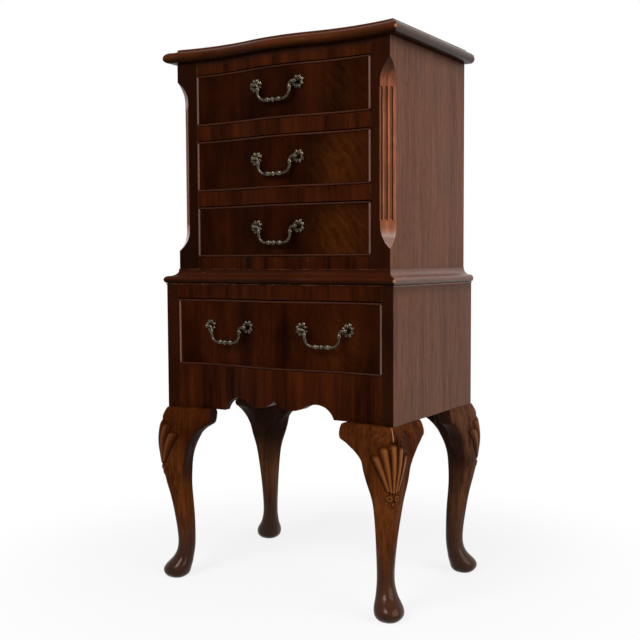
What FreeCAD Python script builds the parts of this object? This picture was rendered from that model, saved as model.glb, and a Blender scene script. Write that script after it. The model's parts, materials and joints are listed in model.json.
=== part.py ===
import FreeCAD, Part
import math
import os
import re
import Sketcher

os.makedirs("parts", exist_ok=True)
doc = FreeCAD.newDocument("highboy")
sheet = doc.addObject("Spreadsheet::Sheet", "Sheet")

# Driving dimensions in millimetres, angles in degrees. Front is -Y, the feet stand on Z = 0.
SIZES = {
    # Overall carcass
    "case_width": 480,
    "case_depth": 320,
    "leg_height": 327,
    "lower_height": 231,
    "waist_height": 29,
    "upper_height": 383,
    "upper_inset": 16,
    "upper_setback": 19,
    "side_thickness": 16,
    "back_thickness": 6,
    "board_thickness": 12,
    # Serpentine front: crown in the middle, one hollow each side
    "hollow_share": 0.28125,
    "hollow_depth": 12,
    # Drawer openings and the rails round them
    "post_width": 39.5,
    "top_rail_show": 24.5,
    "divider_height": 26,
    "bottom_rail_show": 21.5,
    "stile_width": 23.5,
    "lower_rail_height": 25,
    "lower_opening_share": 0.541,
    "rail_depth": 30,
    # Canted and fluted corner posts
    "post_return": 22,
    "cant_run": 22,
    "cant_angle": 50,
    "cant_foot": 72,
    "cant_head": 73,
    "scoop_length": 38,
    "flute_radius": 3,
    "flute_depth": 2.2,
    "flute_pitch": 8.8,
    "flute_inset": 8.3,
    "flute_count": 3,
    "flute_margin": 8,
    # Top board and its moulded edge
    "top_overhang": 20.5,
    "top_front_overhang": 18,
    "top_step": 6,
    "top_ovolo": 12,
    "top_under": 8,
    # Waist moulding
    "waist_overhang": 4.2,
    "waist_nose": 7,
    "waist_fillet": 2,
    "waist_lip": 3,
    "waist_band": 3,
    "waist_band_proud": 1,
    "waist_joint": 0.8,
    # Apron with its sawn edge
    "apron_thickness": 14,
    "apron_foot_gap": 21.5,
    "arch_share": 0.712,
    "apron_arch_rise": 24.5,
    "drop_share": 0.305,
    "apron_drop_rise": 11,
    "apron_notch_rise": 26,
    # Cabriole legs and knee brackets
    "leg_stock": 80,
    "leg_inset": 3,
    "leg_proud": 2.5,
    "stump_size": 28,
    "stump_clear": 9,
    "ear_length": 45,
    "ear_root": 12,
    "ear_height": 80,
    "ear_depth": 22,
    "ear_tip": 27,
    "ear_tip_bulge": 3,
    "ear_proud_top": 2,
    "ear_proud_low": 5,
    "ear_bulge_radius": 120,
    "ear_arch_radius": 95,
    # Drawers
    "front_thickness": 13,
    "drawer_gap": 1,
    "drawer_top_gap": 2,
    "drawer_seat": 0.3,
    "drawer_side_gap": 1.5,
    "drawer_side_thickness": 10,
    "drawer_side_drop": 8,
    "drawer_back_gap": 8,
    "drawer_bottom_thickness": 4,
    "drawer_bottom_lift": 8,
    "groove_depth": 5,
    "groove_play": 0.1,
    "bead_width": 3.5,
    "bead_proud": 2,
    "bead_round": 1.5,
    "runner_height": 12,
    "guide_height": 18,
    "guide_play": 0.3,
    # Handles
    "handle_spacing": 89,
    "handle_offset_share": 0.471,
    "handle_share": 0.563,
    "handle_top_share": 0.642,
    "handle_lower_share": 0.596,
    "handle_reach": 11.5,
    "rosette_radius": 12,
    "rosette_rim": 1.6,
    "rosette_dome": 3.6,
    "rosette_seat": 2,
    "petal_notch": 2.4,
    "petal_count": 8,
    "neck_radius": 3.4,
    "knob_radius": 4.6,
    "bolt_radius": 2.5,
    "bolt_play": 0.2,
    "bolt_end": 2,
    "nut_radius": 6,
    "nut_height": 4,
    "nut_seat": 9,
    "nut_play": 1,
    "thread_play": 0.05,
    "bail_radius": 2.9,
    "bail_play": 0.06,
    "bail_pin_past": 1,
    "bail_end_gap": 0.3,
    "bail_half": 33.5,
    "bail_shoulder": 5.5,
    "bail_corner": 16,
    "bail_drop": 28.5,
    "bead_half": 3.6,
    "leaf_end": 14,
    "leaf_tip": 2.4,
    "bead_waist": 3,
    "bead_arc": 4.6,
    "leaf_arc": 11,
    # Overrun of every cutting shape past the surface that it cuts
    "overrun": 15,
}
for row, (alias, size) in enumerate(SIZES.items(), start=1):
    sheet.set(f"A{row}", alias)
    sheet.set(f"B{row}", str(size))
    sheet.setAlias(f"B{row}", alias)
doc.recompute()

NAME = re.compile(r"[a-z][a-z_]+")
X_AXIS = FreeCAD.Vector(1, 0, 0)
Y_AXIS = FreeCAD.Vector(0, 1, 0)
Z_AXIS = FreeCAD.Vector(0, 0, 1)
NODES = []


def bound(text):
    """An expression whose size names point at the sheet."""
    return NAME.sub(lambda word: "Sheet." + word[0] if word[0] in SIZES else word[0], text)


def number(text):
    """The present value of an expression."""
    return float(sheet.evalExpression(text))


def node(piece):
    """Lists a finished piece, whose label names its file."""
    NODES.append(piece)
    return piece


# Levels, planes and the serpentine line, written as expressions of the sizes
FRONT = "(0 - case_depth / 2)"
BACK = "(case_depth / 2)"
BACK_INSIDE = f"({BACK} - back_thickness)"
CASE_HALF = "(case_width / 2)"
CASE_INSIDE = f"({CASE_HALF} - side_thickness)"
UPPER_HALF = f"({CASE_HALF} - upper_inset)"
UPPER_INSIDE = f"({UPPER_HALF} - side_thickness)"
UPPER_OPENING_HALF = f"({UPPER_HALF} - post_width)"
LOWER_OPENING_HALF = f"({CASE_HALF} - stile_width)"
UPPER_FRONT = f"({FRONT} + upper_setback)"
WAIST_LEVEL = "(leg_height + lower_height)"
UPPER_LEVEL = f"({WAIST_LEVEL} + waist_height)"
TOP_LEVEL = f"({UPPER_LEVEL} + upper_height)"
TOP_THICKNESS = "(top_step + top_ovolo + top_under)"
HOLLOW_PITCH = "(case_width * hollow_share)"
CURVE_RADIUS = f"(({HOLLOW_PITCH} * {HOLLOW_PITCH} + hollow_depth * hollow_depth) / (4 * hollow_depth))"


def curve_fall(x):
    """How far the serpentine line stands in front of the hollow's bottom at x, outside the crown."""
    run = f"({x} - {HOLLOW_PITCH})"
    return f"({CURVE_RADIUS} - sqrt({CURVE_RADIUS} * {CURVE_RADIUS} - {run} * {run}))"


def crown_for(x, y):
    """The crown's y for a serpentine line whose end lies at x, y."""
    return f"({y} + {curve_fall(x)} - hollow_depth)"


def line_y(x, crown):
    """The y of the serpentine line at x, outside the crown."""
    return f"({crown} + hollow_depth - {curve_fall(x)})"


def face_y(x, crown):
    """The y of the serpentine line at x, in the crown or outside it."""
    in_crown = f"({crown} + {CURVE_RADIUS} - sqrt({CURVE_RADIUS} * {CURVE_RADIUS} - {x} * {x}))"
    return f"({x} < {HOLLOW_PITCH} / 2 ? {in_crown} : {line_y(x, crown)})"


def tangent_radius(run, rise):
    """The radius of an arc that starts level and ends run along and rise up."""
    return f"(({run} * {run} + {rise} * {rise}) / (2 * {rise}))"


LOWER_CROWN = crown_for(CASE_HALF, FRONT)
UPPER_CROWN = crown_for(UPPER_HALF, UPPER_FRONT)
TOP_HALF = f"({UPPER_HALF} + top_overhang)"
TOP_CROWN = crown_for(TOP_HALF, f"({UPPER_FRONT} - top_front_overhang)")
UPPER_RAIL_BACK = f"({UPPER_CROWN} + hollow_depth + rail_depth)"
APRON_BACK = f"({LOWER_CROWN} + hollow_depth + apron_thickness)"
LOWER_OPENING = "(lower_height * lower_opening_share)"
LOWER_OPENING_LEVEL = f"({WAIST_LEVEL} - lower_rail_height - {LOWER_OPENING})"
UPPER_PLACES = (1, 2, 3)
UPPER_RAILS = f"(bottom_rail_show + {len(UPPER_PLACES[1:])} * divider_height + top_rail_show)"
UPPER_OPENING = f"((upper_height - {UPPER_RAILS}) / {len(UPPER_PLACES)})"


def upper_opening_level(place):
    """The bottom of an upper drawer's opening, place 1 being the top one."""
    below = UPPER_PLACES[-1] - place
    return f"({UPPER_LEVEL} + bottom_rail_show + {below} * ({UPPER_OPENING} + divider_height))"


def serpentine(crown, half):
    """Steps of a front line from left to right: hollow, crown, hollow."""
    return [
        (f"0 - {half}", line_y(half, crown)),
        (f"0 - {HOLLOW_PITCH} / 2", f"{crown} + hollow_depth / 2", CURVE_RADIUS, -1),
        (f"{HOLLOW_PITCH} / 2", f"{crown} + hollow_depth / 2", CURVE_RADIUS, 1),
        (f"{half}", line_y(half, crown), CURVE_RADIUS, -1),
    ]


# Sketches and features
def new_body(label):
    return doc.addObject("PartDesign::Body", label)


def origin_item(body, role):
    return next(item for item in body.Origin.OriginFeatures if item.Role == role)


def new_sketch(body, name, role, lift="0", shift=("0", "0")):
    """An empty sketch on one of the body's planes, lifted along the plane's normal and shifted in it."""
    drawing = body.newObject("Sketcher::SketchObject", name)
    drawing.AttachmentSupport = [(origin_item(body, role), "")]
    drawing.MapMode = "FlatFace"
    for axis, text in zip("xyz", (*shift, lift)):
        drawing.setExpression("AttachmentOffset.Base." + axis, bound(text))
    return drawing


def add_arc(drawing, start, end, radius, turn):
    """An arc of under a half circle from start to end; turn 1 runs anticlockwise, -1 clockwise."""
    chord = end - start
    rise = math.sqrt(max(radius ** 2 - (chord.Length / 2) ** 2, 0))
    left = FreeCAD.Vector(-chord.y, chord.x, 0).normalize()
    centre = (start + end) / 2 + left * rise * turn
    begin = math.atan2(start.y - centre.y, start.x - centre.x)
    finish = math.atan2(end.y - centre.y, end.x - centre.x)
    circle = Part.Circle(centre, Z_AXIS, radius)
    if turn > 0:
        return drawing.addGeometry(Part.ArcOfCircle(circle, begin, finish)), 1, 2
    return drawing.addGeometry(Part.ArcOfCircle(circle, finish, begin)), 2, 1


def fix(drawing, constraint, text):
    """Adds a driving constraint and binds it to an expression."""
    index = drawing.addConstraint(constraint)
    drawing.setExpression(f"Constraints[{index}]", bound(text))


def draw(drawing, steps, closed=True):
    """Draws the outline. A step is (x, y) for a line to that point, or (x, y, radius, turn) for an arc."""
    points = [FreeCAD.Vector(number(step[0]), number(step[1]), 0) for step in steps]
    edges = []
    for index in range(0 if closed else 1, len(steps)):
        start, end, step = points[index - 1], points[index], steps[index]
        if len(step) == 2:
            edges.append((drawing.addGeometry(Part.LineSegment(start, end)), 1, 2, index))
        else:
            edges.append((*add_arc(drawing, start, end, number(step[2]), step[3]), index))
    for order, (edge, begin, finish, index) in enumerate(edges):
        if closed or order > 0:
            before = edges[order - 1]
            drawing.addConstraint(Sketcher.Constraint("Coincident", before[0], before[2], edge, begin))
        else:
            fix(drawing, Sketcher.Constraint("DistanceX", -1, 1, edge, begin, points[0].x), steps[0][0])
            fix(drawing, Sketcher.Constraint("DistanceY", -1, 1, edge, begin, points[0].y), steps[0][1])
        fix(drawing, Sketcher.Constraint("DistanceX", -1, 1, edge, finish, points[index].x), steps[index][0])
        fix(drawing, Sketcher.Constraint("DistanceY", -1, 1, edge, finish, points[index].y), steps[index][1])
        if len(steps[index]) > 2:
            fix(drawing, Sketcher.Constraint("Radius", edge, number(steps[index][2])), steps[index][2])
    return drawing


def outline(body, name, role, steps, lift="0", shift=("0", "0")):
    return draw(new_sketch(body, name, role, lift, shift), steps)


def add_ring(drawing, radius, centre=("0", "0")):
    """Draws a circle in a sketch."""
    middle = FreeCAD.Vector(number(centre[0]), number(centre[1]), 0)
    edge = drawing.addGeometry(Part.Circle(middle, Z_AXIS, number(radius)))
    fix(drawing, Sketcher.Constraint("Radius", edge, number(radius)), radius)
    fix(drawing, Sketcher.Constraint("DistanceX", -1, 1, edge, 3, middle.x), centre[0])
    fix(drawing, Sketcher.Constraint("DistanceY", -1, 1, edge, 3, middle.y), centre[1])
    return drawing


def pad(body, drawing, length, reverse=False):
    feature = body.newObject("PartDesign::Pad", drawing.Name + "_pad")
    feature.Profile = drawing
    feature.Reversed = reverse
    feature.setExpression("Length", bound(length))
    return feature


def pocket_through(body, drawing):
    """Cuts the sketch right through, both ways from its plane."""
    feature = body.newObject("PartDesign::Pocket", drawing.Name + "_cut")
    feature.Profile = drawing
    feature.Type = "ThroughAll"
    feature.Midplane = True
    return feature


def pipe(body, kind, profile, path):
    feature = body.newObject("PartDesign::" + kind, profile.Name + "_sweep")
    feature.Profile = profile
    feature.Spine = (path, [])
    return feature


def revolve(body, kind, profile, axis):
    """A full turn about one of the sketch's own axes."""
    feature = body.newObject("PartDesign::" + kind, profile.Name + "_turn")
    feature.Profile = profile
    feature.ReferenceAxis = (profile, [axis])
    return feature


def mirrored(body, features):
    """Repeats features on the other side of the middle plane."""
    feature = body.newObject("PartDesign::Mirrored", features[-1].Name + "_mirrored")
    feature.Originals = features
    feature.MirrorPlane = (origin_item(body, "YZ_Plane"), [""])
    body.Tip = feature
    return feature


def box(label, corner, size):
    piece = doc.addObject("Part::Box", label)
    for side, text in zip(("Length", "Width", "Height"), size):
        piece.setExpression(side, bound(text))
    for axis, text in zip("xyz", corner):
        piece.setExpression("Placement.Base." + axis, bound(text))
    return piece


def cut(label, base, tool):
    piece = doc.addObject("Part::Cut", label)
    piece.Base = base
    piece.Tool = tool
    return piece


def group(label, pieces):
    piece = doc.addObject("Part::Compound", label)
    piece.Links = pieces
    return piece


def mirror(label, source, normal, base=("0", "0", "0")):
    piece = doc.addObject("Part::Mirroring", label)
    piece.Source = source
    piece.Normal = normal
    for axis, text in zip("xyz", base):
        piece.setExpression("Base." + axis, bound(text))
    return piece


def pair(name, right):
    """Lists a right-hand piece and its mirror image on the left."""
    node(right)
    return node(mirror(f"{name}_left", right, X_AXIS))


def board(label, steps, level, height):
    """A piece sawn to a plan outline."""
    body = new_body(label)
    pad(body, outline(body, label + "_plan", "XY_Plane", steps, level), height)
    return body


def serpentine_board(label, crown, half, back, level, height):
    """A rail or front with a serpentine face and a flat back."""
    steps = serpentine(crown, half)
    return board(label, steps + [(half, back), (f"0 - {half}", back)], level, height)


# Upper case: sides, back, rails and the board below
node(box("upper_back", (f"0 - {UPPER_INSIDE}", BACK_INSIDE, WAIST_LEVEL),
         (f"2 * {UPPER_INSIDE}", "back_thickness", f"{TOP_LEVEL} - {WAIST_LEVEL}")))
POST_RETURN_Y = f"({UPPER_FRONT} + post_return)"
pair("upper_side", box("upper_side_right", (UPPER_INSIDE, POST_RETURN_Y, WAIST_LEVEL),
                       ("side_thickness", f"{BACK} - {POST_RETURN_Y}", f"{TOP_LEVEL} - {WAIST_LEVEL}")))
node(box("waist_board", (f"0 - {CASE_INSIDE}", UPPER_RAIL_BACK, f"{WAIST_LEVEL} - board_thickness"),
         (f"2 * {CASE_INSIDE}", f"{BACK_INSIDE} - {UPPER_RAIL_BACK}", "board_thickness")))


def upper_rail(label, level, height):
    return serpentine_board(label, UPPER_CROWN, UPPER_OPENING_HALF, UPPER_RAIL_BACK, level, height)


TOP_RAIL_LEVEL = f"({TOP_LEVEL} - top_rail_show)"
node(upper_rail("upper_top_rail", TOP_RAIL_LEVEL, "top_rail_show"))
node(upper_rail("upper_bottom_rail", WAIST_LEVEL, f"{upper_opening_level(3)} - {WAIST_LEVEL}"))
dividers = [upper_rail(f"divider_{place}", f"{upper_opening_level(place)} - divider_height", "divider_height")
            for place in UPPER_PLACES[:-1]]
node(group("upper_divider_rails", dividers))


# Corner posts: plan with a lap behind the side, then the scooped cant, then the flutes
def cant_sketch(body, name, across, proud):
    """A sketch in the upright plane square to the cant, across from its side arris, proud of its face."""
    drawing = new_sketch(body, name, "XZ_Plane")
    turn = FreeCAD.Rotation(-Y_AXIS, number("cant_angle"))
    drawing.AttachmentOffset = FreeCAD.Placement(FreeCAD.Vector(), turn)
    drawing.setExpression("AttachmentOffset.Rotation.Angle", bound("cant_angle"))
    x = f"{UPPER_HALF} - {across} * sin(cant_angle) + {proud} * cos(cant_angle)"
    y = f"{UPPER_FRONT} + cant_run - {across} * cos(cant_angle) - {proud} * sin(cant_angle)"
    drawing.setExpression("AttachmentOffset.Base.x", bound(x))
    drawing.setExpression("AttachmentOffset.Base.z", bound(f"0 - ({y})"))
    return drawing


def corner_post():
    post = board("corner_post_right", [
        (UPPER_OPENING_HALF, line_y(UPPER_OPENING_HALF, UPPER_CROWN)),
        (UPPER_HALF, UPPER_FRONT, CURVE_RADIUS, -1),
        (UPPER_HALF, POST_RETURN_Y),
        (UPPER_INSIDE, POST_RETURN_Y),
        (UPPER_INSIDE, UPPER_RAIL_BACK),
        (UPPER_OPENING_HALF, UPPER_RAIL_BACK),
    ], WAIST_LEVEL, f"{TOP_LEVEL} - {WAIST_LEVEL}")
    depth = "(cant_run * sin(cant_angle))"
    scoop = tangent_radius("scoop_length", depth)
    low = f"({UPPER_LEVEL} + cant_foot)"
    high = f"({TOP_LEVEL} - cant_head)"
    cant = draw(cant_sketch(post, "cant", "0", "0"), [
        ("0", low, scoop, -1),
        ("0", high),
        (depth, f"{high} + scoop_length", scoop, -1),
        (f"{depth} + overrun", f"{high} + scoop_length"),
        (f"{depth} + overrun", f"{low} - scoop_length"),
        (depth, f"{low} - scoop_length"),
    ])
    pocket_through(post, cant)
    bottom = f"({low} + flute_margin)"
    top = f"({high} - flute_margin)"
    flute = draw(cant_sketch(post, "flute", "flute_inset", "(flute_radius - flute_depth)"), [
        ("0", bottom),
        ("flute_radius", f"{bottom} + flute_radius", "flute_radius", 1),
        ("flute_radius", f"{top} - flute_radius"),
        ("0", top, "flute_radius", 1),
    ])
    groove = revolve(post, "Groove", flute, "V_Axis")
    row = post.newObject("PartDesign::LinearPattern", "flutes")
    row.Originals = [groove]
    row.Direction = (flute, ["N_Axis"])
    row.setExpression("Length", bound("flute_pitch * (flute_count - 1)"))
    row.setExpression("Occurrences", bound("flute_count"))
    post.Tip = row
    return post


pair("corner_post", corner_post())


# Top board: sawn to the serpentine nose line, then a cove and an ovolo run along three edges
def top_edge(edge, outward):
    """What the moulding plane takes off an edge; outward is 1 or -1 along the sketch's first axis."""
    top = f"({TOP_LEVEL} + {TOP_THICKNESS})"
    inside = f"({edge} - {outward} * top_ovolo)"
    rim = f"({inside} - {outward} * top_step)"
    under = f"({edge} - {outward} * top_under)"
    clear = f"({edge} + {outward} * overrun)"
    return [
        (rim, f"{top} + overrun"),
        (rim, top),
        (inside, f"{top} - top_step", "top_step", outward),
        (edge, f"{TOP_LEVEL} + top_under", "top_ovolo", -outward),
        (under, TOP_LEVEL, "top_under", -outward),
        (under, f"{TOP_LEVEL} - overrun"),
        (clear, f"{TOP_LEVEL} - overrun"),
        (clear, f"{top} + overrun"),
    ]


def half_path(body, name, crown, half, level):
    """The right half of a serpentine line, from the crown out past the end of the work."""
    end = f"({half} + overrun)"
    path = new_sketch(body, name, "XY_Plane", level)
    return draw(path, [
        ("0", crown),
        (f"{HOLLOW_PITCH} / 2", f"{crown} + hollow_depth / 2", CURVE_RADIUS, 1),
        (end, line_y(end, crown), CURVE_RADIUS, -1),
    ], closed=False)


def top_board():
    steps = serpentine(TOP_CROWN, TOP_HALF)
    top = board("top_board", steps + [(TOP_HALF, BACK), (f"0 - {TOP_HALF}", BACK)], TOP_LEVEL, TOP_THICKNESS)
    front_edge = outline(top, "top_front_edge", "YZ_Plane", top_edge(TOP_CROWN, -1))
    path = half_path(top, "top_front_path", TOP_CROWN, TOP_HALF, TOP_LEVEL)
    mirrored(top, [pipe(top, "SubtractivePipe", front_edge, path)])
    side_edge = outline(top, "top_side_edge", "XZ_Plane", top_edge(TOP_HALF, 1))
    mirrored(top, [pocket_through(top, side_edge)])
    return top


node(top_board())


# Waist moulding: fillet, half-round nose, cove and band, mitred at the front corners
NOSE_X = f"({CASE_HALF} + waist_overhang)"
NOSE_CROWN = f"({LOWER_CROWN} - waist_overhang)"
NOSE_Y = line_y(NOSE_X, NOSE_CROWN)
MITRE_IN = (f"(2 * {UPPER_HALF} - {NOSE_X})", f"(2 * {UPPER_FRONT} - {NOSE_Y})")
MITRE_OUT = (f"(2 * {NOSE_X} - {UPPER_HALF})", f"(2 * {NOSE_Y} - {UPPER_FRONT})")


def waist_section(inside, nose, outward):
    """The moulding's section between its inside face and its nose."""
    round_top = f"({WAIST_LEVEL} + waist_fillet + 2 * waist_nose)"
    run = f"(abs({nose} - {inside}) - waist_nose - waist_band_proud)"
    rise = f"({UPPER_LEVEL} - waist_band - {round_top})"
    cove = tangent_radius(run, rise)
    band = f"({inside} + {outward} * waist_band_proud)"
    lip = f"({nose} - {outward} * waist_lip)"
    root = f"({nose} - {outward} * waist_nose)"
    return [
        (inside, WAIST_LEVEL),
        (lip, WAIST_LEVEL),
        (lip, f"{WAIST_LEVEL} + waist_fillet"),
        (root, f"{WAIST_LEVEL} + waist_fillet"),
        (nose, f"{WAIST_LEVEL} + waist_fillet + waist_nose", "waist_nose", outward),
        (root, round_top, "waist_nose", outward),
        (band, f"{UPPER_LEVEL} - waist_band", cove, -outward),
        (band, UPPER_LEVEL),
        (inside, UPPER_LEVEL),
    ]


def waist_front():
    strip = new_body("waist_moulding_front")
    section = waist_section(f"({UPPER_CROWN} - waist_joint)", NOSE_CROWN, -1)
    profile = outline(strip, "waist_front_section", "YZ_Plane", section)
    path = half_path(strip, "waist_front_path", NOSE_CROWN, NOSE_X, WAIST_LEVEL)
    sweep = pipe(strip, "AdditivePipe", profile, path)
    clear = f"({MITRE_OUT[0]} + overrun)"
    mitre = outline(strip, "waist_front_mitre", "XY_Plane",
                    [MITRE_IN, MITRE_OUT, (clear, MITRE_OUT[1]), (clear, MITRE_IN[1])], WAIST_LEVEL)
    trim = pocket_through(strip, mitre)
    mirrored(strip, [sweep, trim])
    return strip


def waist_side():
    strip = new_body("waist_moulding_right")
    profile = outline(strip, "waist_side_section", "XZ_Plane", waist_section(UPPER_HALF, NOSE_X, 1),
                      f"0 - {MITRE_OUT[1]}")
    pad(strip, profile, f"{BACK} - {MITRE_OUT[1]}", reverse=True)
    mitre = outline(strip, "waist_side_mitre", "XY_Plane",
                    [MITRE_IN, (MITRE_IN[0], MITRE_OUT[1]), MITRE_OUT], WAIST_LEVEL)
    pocket_through(strip, mitre)
    return strip


node(waist_front())
pair("waist_moulding", waist_side())


# Lower case: mitred sides and stiles, back, rail and apron
LOWER_BOX = ("leg_height", "lower_height")
MITRE_INSIDE = (CASE_INSIDE, f"{FRONT} + side_thickness")
pair("lower_side", board("lower_side_right", [
    (CASE_HALF, FRONT),
    (CASE_HALF, BACK),
    (CASE_INSIDE, BACK),
    MITRE_INSIDE,
], *LOWER_BOX))
pair("lower_stile", board("lower_stile_right", [
    (LOWER_OPENING_HALF, line_y(LOWER_OPENING_HALF, LOWER_CROWN)),
    (CASE_HALF, FRONT, CURVE_RADIUS, -1),
    MITRE_INSIDE,
    (LOWER_OPENING_HALF, MITRE_INSIDE[1]),
], *LOWER_BOX))
node(box("lower_back", (f"0 - {CASE_INSIDE}", BACK_INSIDE, "leg_height"),
         (f"2 * {CASE_INSIDE}", "back_thickness", "lower_height")))
node(serpentine_board("lower_top_rail", LOWER_CROWN, LOWER_OPENING_HALF, UPPER_RAIL_BACK,
                      f"{WAIST_LEVEL} - lower_rail_height", "lower_rail_height"))


EAR_END = f"({CASE_HALF} - leg_stock / sqrt(2) - ear_length)"


def apron():
    """The apron, whose edge rises in an arch each side and in a pointed notch at the middle."""
    piece = serpentine_board("apron", LOWER_CROWN, LOWER_OPENING_HALF, APRON_BACK,
                             "leg_height", f"{LOWER_OPENING_LEVEL} - leg_height")
    foot = f"({EAR_END} - apron_foot_gap)"
    arch = f"({foot} * arch_share)"
    drop = f"({foot} * drop_share)"
    flank = tangent_radius(f"({foot} - {arch})", "apron_arch_rise")
    wave = tangent_radius(f"(({arch} - {drop}) / 2)", "((apron_arch_rise - apron_drop_rise) / 2)")
    notch = tangent_radius(drop, "(apron_notch_rise - apron_drop_rise)")
    middle = f"(({arch} + {drop}) / 2)"
    middle_rise = "((apron_arch_rise + apron_drop_rise) / 2)"
    edge = outline(piece, "apron_edge", "XZ_Plane", [
        ("0", "leg_height - overrun"),
        (f"{LOWER_OPENING_HALF} + overrun", "leg_height - overrun"),
        (f"{LOWER_OPENING_HALF} + overrun", "leg_height"),
        (foot, "leg_height"),
        (arch, "leg_height + apron_arch_rise", flank, 1),
        (middle, f"leg_height + {middle_rise}", wave, 1),
        (drop, "leg_height + apron_drop_rise", wave, -1),
        ("0", "leg_height + apron_notch_rise", notch, -1),
    ])
    mirrored(piece, [pocket_through(piece, edge)])
    return piece


node(apron())


# Cabriole legs: a loft through sections, each the hull of a circle at the knee side, two at the flanks
# and one at the back, on the leg's own diagonal. Rows run from the case down to the pad foot: height as a
# share of leg_height; knee, flank and back places and flank spread as shares of leg_stock; then the knee
# circle's and the other circles' radii as shares of the spread.
LEG_SHARES = (
    (1.0, 0.038, -0.462, -0.962, 0.5, 0.12, 0.08),
    (0.917, 0.205, -0.4, -0.9, 0.537, 0.28, 0.12),
    (0.841, 0.278, -0.356, -0.794, 0.531, 0.33, 0.16),
    (0.783, 0.29, -0.319, -0.669, 0.5, 0.35, 0.2),
    (0.712, 0.26, -0.262, -0.575, 0.435, 0.4, 0.26),
    (0.63, 0.182, -0.219, -0.54, 0.356, 0.46, 0.35),
    (0.544, 0.07, -0.238, -0.53, 0.3, 0.52, 0.46),
    (0.456, -0.028, -0.288, -0.55, 0.255, 0.64, 0.61),
    (0.349, -0.111, -0.344, -0.58, 0.217, 0.78, 0.78),
    (0.242, -0.168, -0.379, -0.59, 0.194, 0.84, 0.84),
    (0.183, -0.168, -0.376, -0.585, 0.196, 0.85, 0.85),
    (0.141, -0.122, -0.345, -0.565, 0.219, 0.85, 0.85),
    (0.11, -0.038, -0.29, -0.542, 0.25, 0.86, 0.86),
    (0.086, 0.062, -0.231, -0.525, 0.288, 0.87, 0.87),
    (0.064, 0.145, -0.178, -0.5, 0.318, 0.88, 0.88),
    (0.043, 0.183, -0.146, -0.475, 0.325, 0.88, 0.88),
    (0.024, 0.168, -0.141, -0.45, 0.306, 0.88, 0.88),
    (0.009, 0.119, -0.141, -0.4, 0.259, 0.88, 0.88),
    (0.0, 0.069, -0.141, -0.35, 0.21, 0.88, 0.88),
)


def tangent_points(first, second):
    """Where the outer tangent, on the right of the way from the first circle to the second, touches both."""
    (c1, r1), (c2, r2) = first, second
    way = c2 - c1
    angle = math.atan2(way.y, way.x) - math.acos((r1 - r2) / way.Length)
    normal = FreeCAD.Vector(math.cos(angle), math.sin(angle), 0)
    return c1 + normal * r1, c2 + normal * r2


def leg_section(body, index, shares):
    height, knee, flank, back, spread, knee_round, other_round = shares
    drawing = new_sketch(body, f"leg_section_{index}", "XY_Plane", f"leg_height * {height}")
    knee_radius = f"leg_stock * {spread * knee_round}"
    radius = f"leg_stock * {spread * other_round}"
    circles = [
        (f"leg_stock * {knee} - {knee_radius}", "0", knee_radius),
        (f"leg_stock * {flank}", f"leg_stock * {spread} - {radius}", radius),
        (f"leg_stock * {back} + {radius}", "0", radius),
        (f"leg_stock * {flank}", f"{radius} - leg_stock * {spread}", radius),
    ]
    places = [(FreeCAD.Vector(number(x), number(y), 0), number(r)) for x, y, r in circles]
    lines = [tangent_points(places[turn], places[(turn + 1) % len(places)]) for turn in range(len(places))]
    edges = []
    for turn, ((centre, size), texts) in enumerate(zip(places, circles)):
        begin = lines[turn - 1][1] - centre
        finish = lines[turn][0] - centre
        arc = Part.ArcOfCircle(Part.Circle(centre, Z_AXIS, size), math.atan2(begin.y, begin.x),
                               math.atan2(finish.y, finish.x))
        edges.append(drawing.addGeometry(arc))
        edges.append(drawing.addGeometry(Part.LineSegment(*lines[turn])))
        fix(drawing, Sketcher.Constraint("DistanceX", -1, 1, edges[-2], 3, centre.x), texts[0])
        fix(drawing, Sketcher.Constraint("DistanceY", -1, 1, edges[-2], 3, centre.y), texts[1])
        fix(drawing, Sketcher.Constraint("Radius", edges[-2], size), texts[2])
    for order, edge in enumerate(edges):
        drawing.addConstraint(Sketcher.Constraint("Tangent", edges[order - 1], 2, edge, 1))
    return drawing


def leg():
    """The front right leg, with the stump that goes up into the case corner."""
    shank = new_body("leg_shank")
    sections = [leg_section(shank, index, shares) for index, shares in enumerate(LEG_SHARES)]
    loft = shank.newObject("PartDesign::AdditiveLoft", "leg_loft")
    loft.Profile = sections[0]
    loft.Sections = sections[1:]
    shank.Placement = FreeCAD.Placement(FreeCAD.Vector(), FreeCAD.Rotation(X_AXIS, X_AXIS - Y_AXIS))
    shank.setExpression("Placement.Base.x", bound(f"{CASE_HALF} - leg_inset"))
    shank.setExpression("Placement.Base.y", bound(f"{FRONT} - leg_proud"))
    stump_top = f"({LOWER_OPENING_LEVEL} - runner_height - stump_clear)"
    stump = box("leg_stump", (f"{CASE_INSIDE} - stump_size", APRON_BACK, "leg_height"),
                ("stump_size", "stump_size", f"{stump_top} - leg_height"))
    whole = doc.addObject("Part::Fuse", "leg_front_right")
    whole.Base = shank
    whole.Tool = stump
    return whole


front_right = node(leg())
front_left = node(mirror("leg_front_left", front_right, X_AXIS))
node(mirror("leg_back_right", front_right, Y_AXIS))
node(mirror("leg_back_left", front_left, Y_AXIS))


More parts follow.
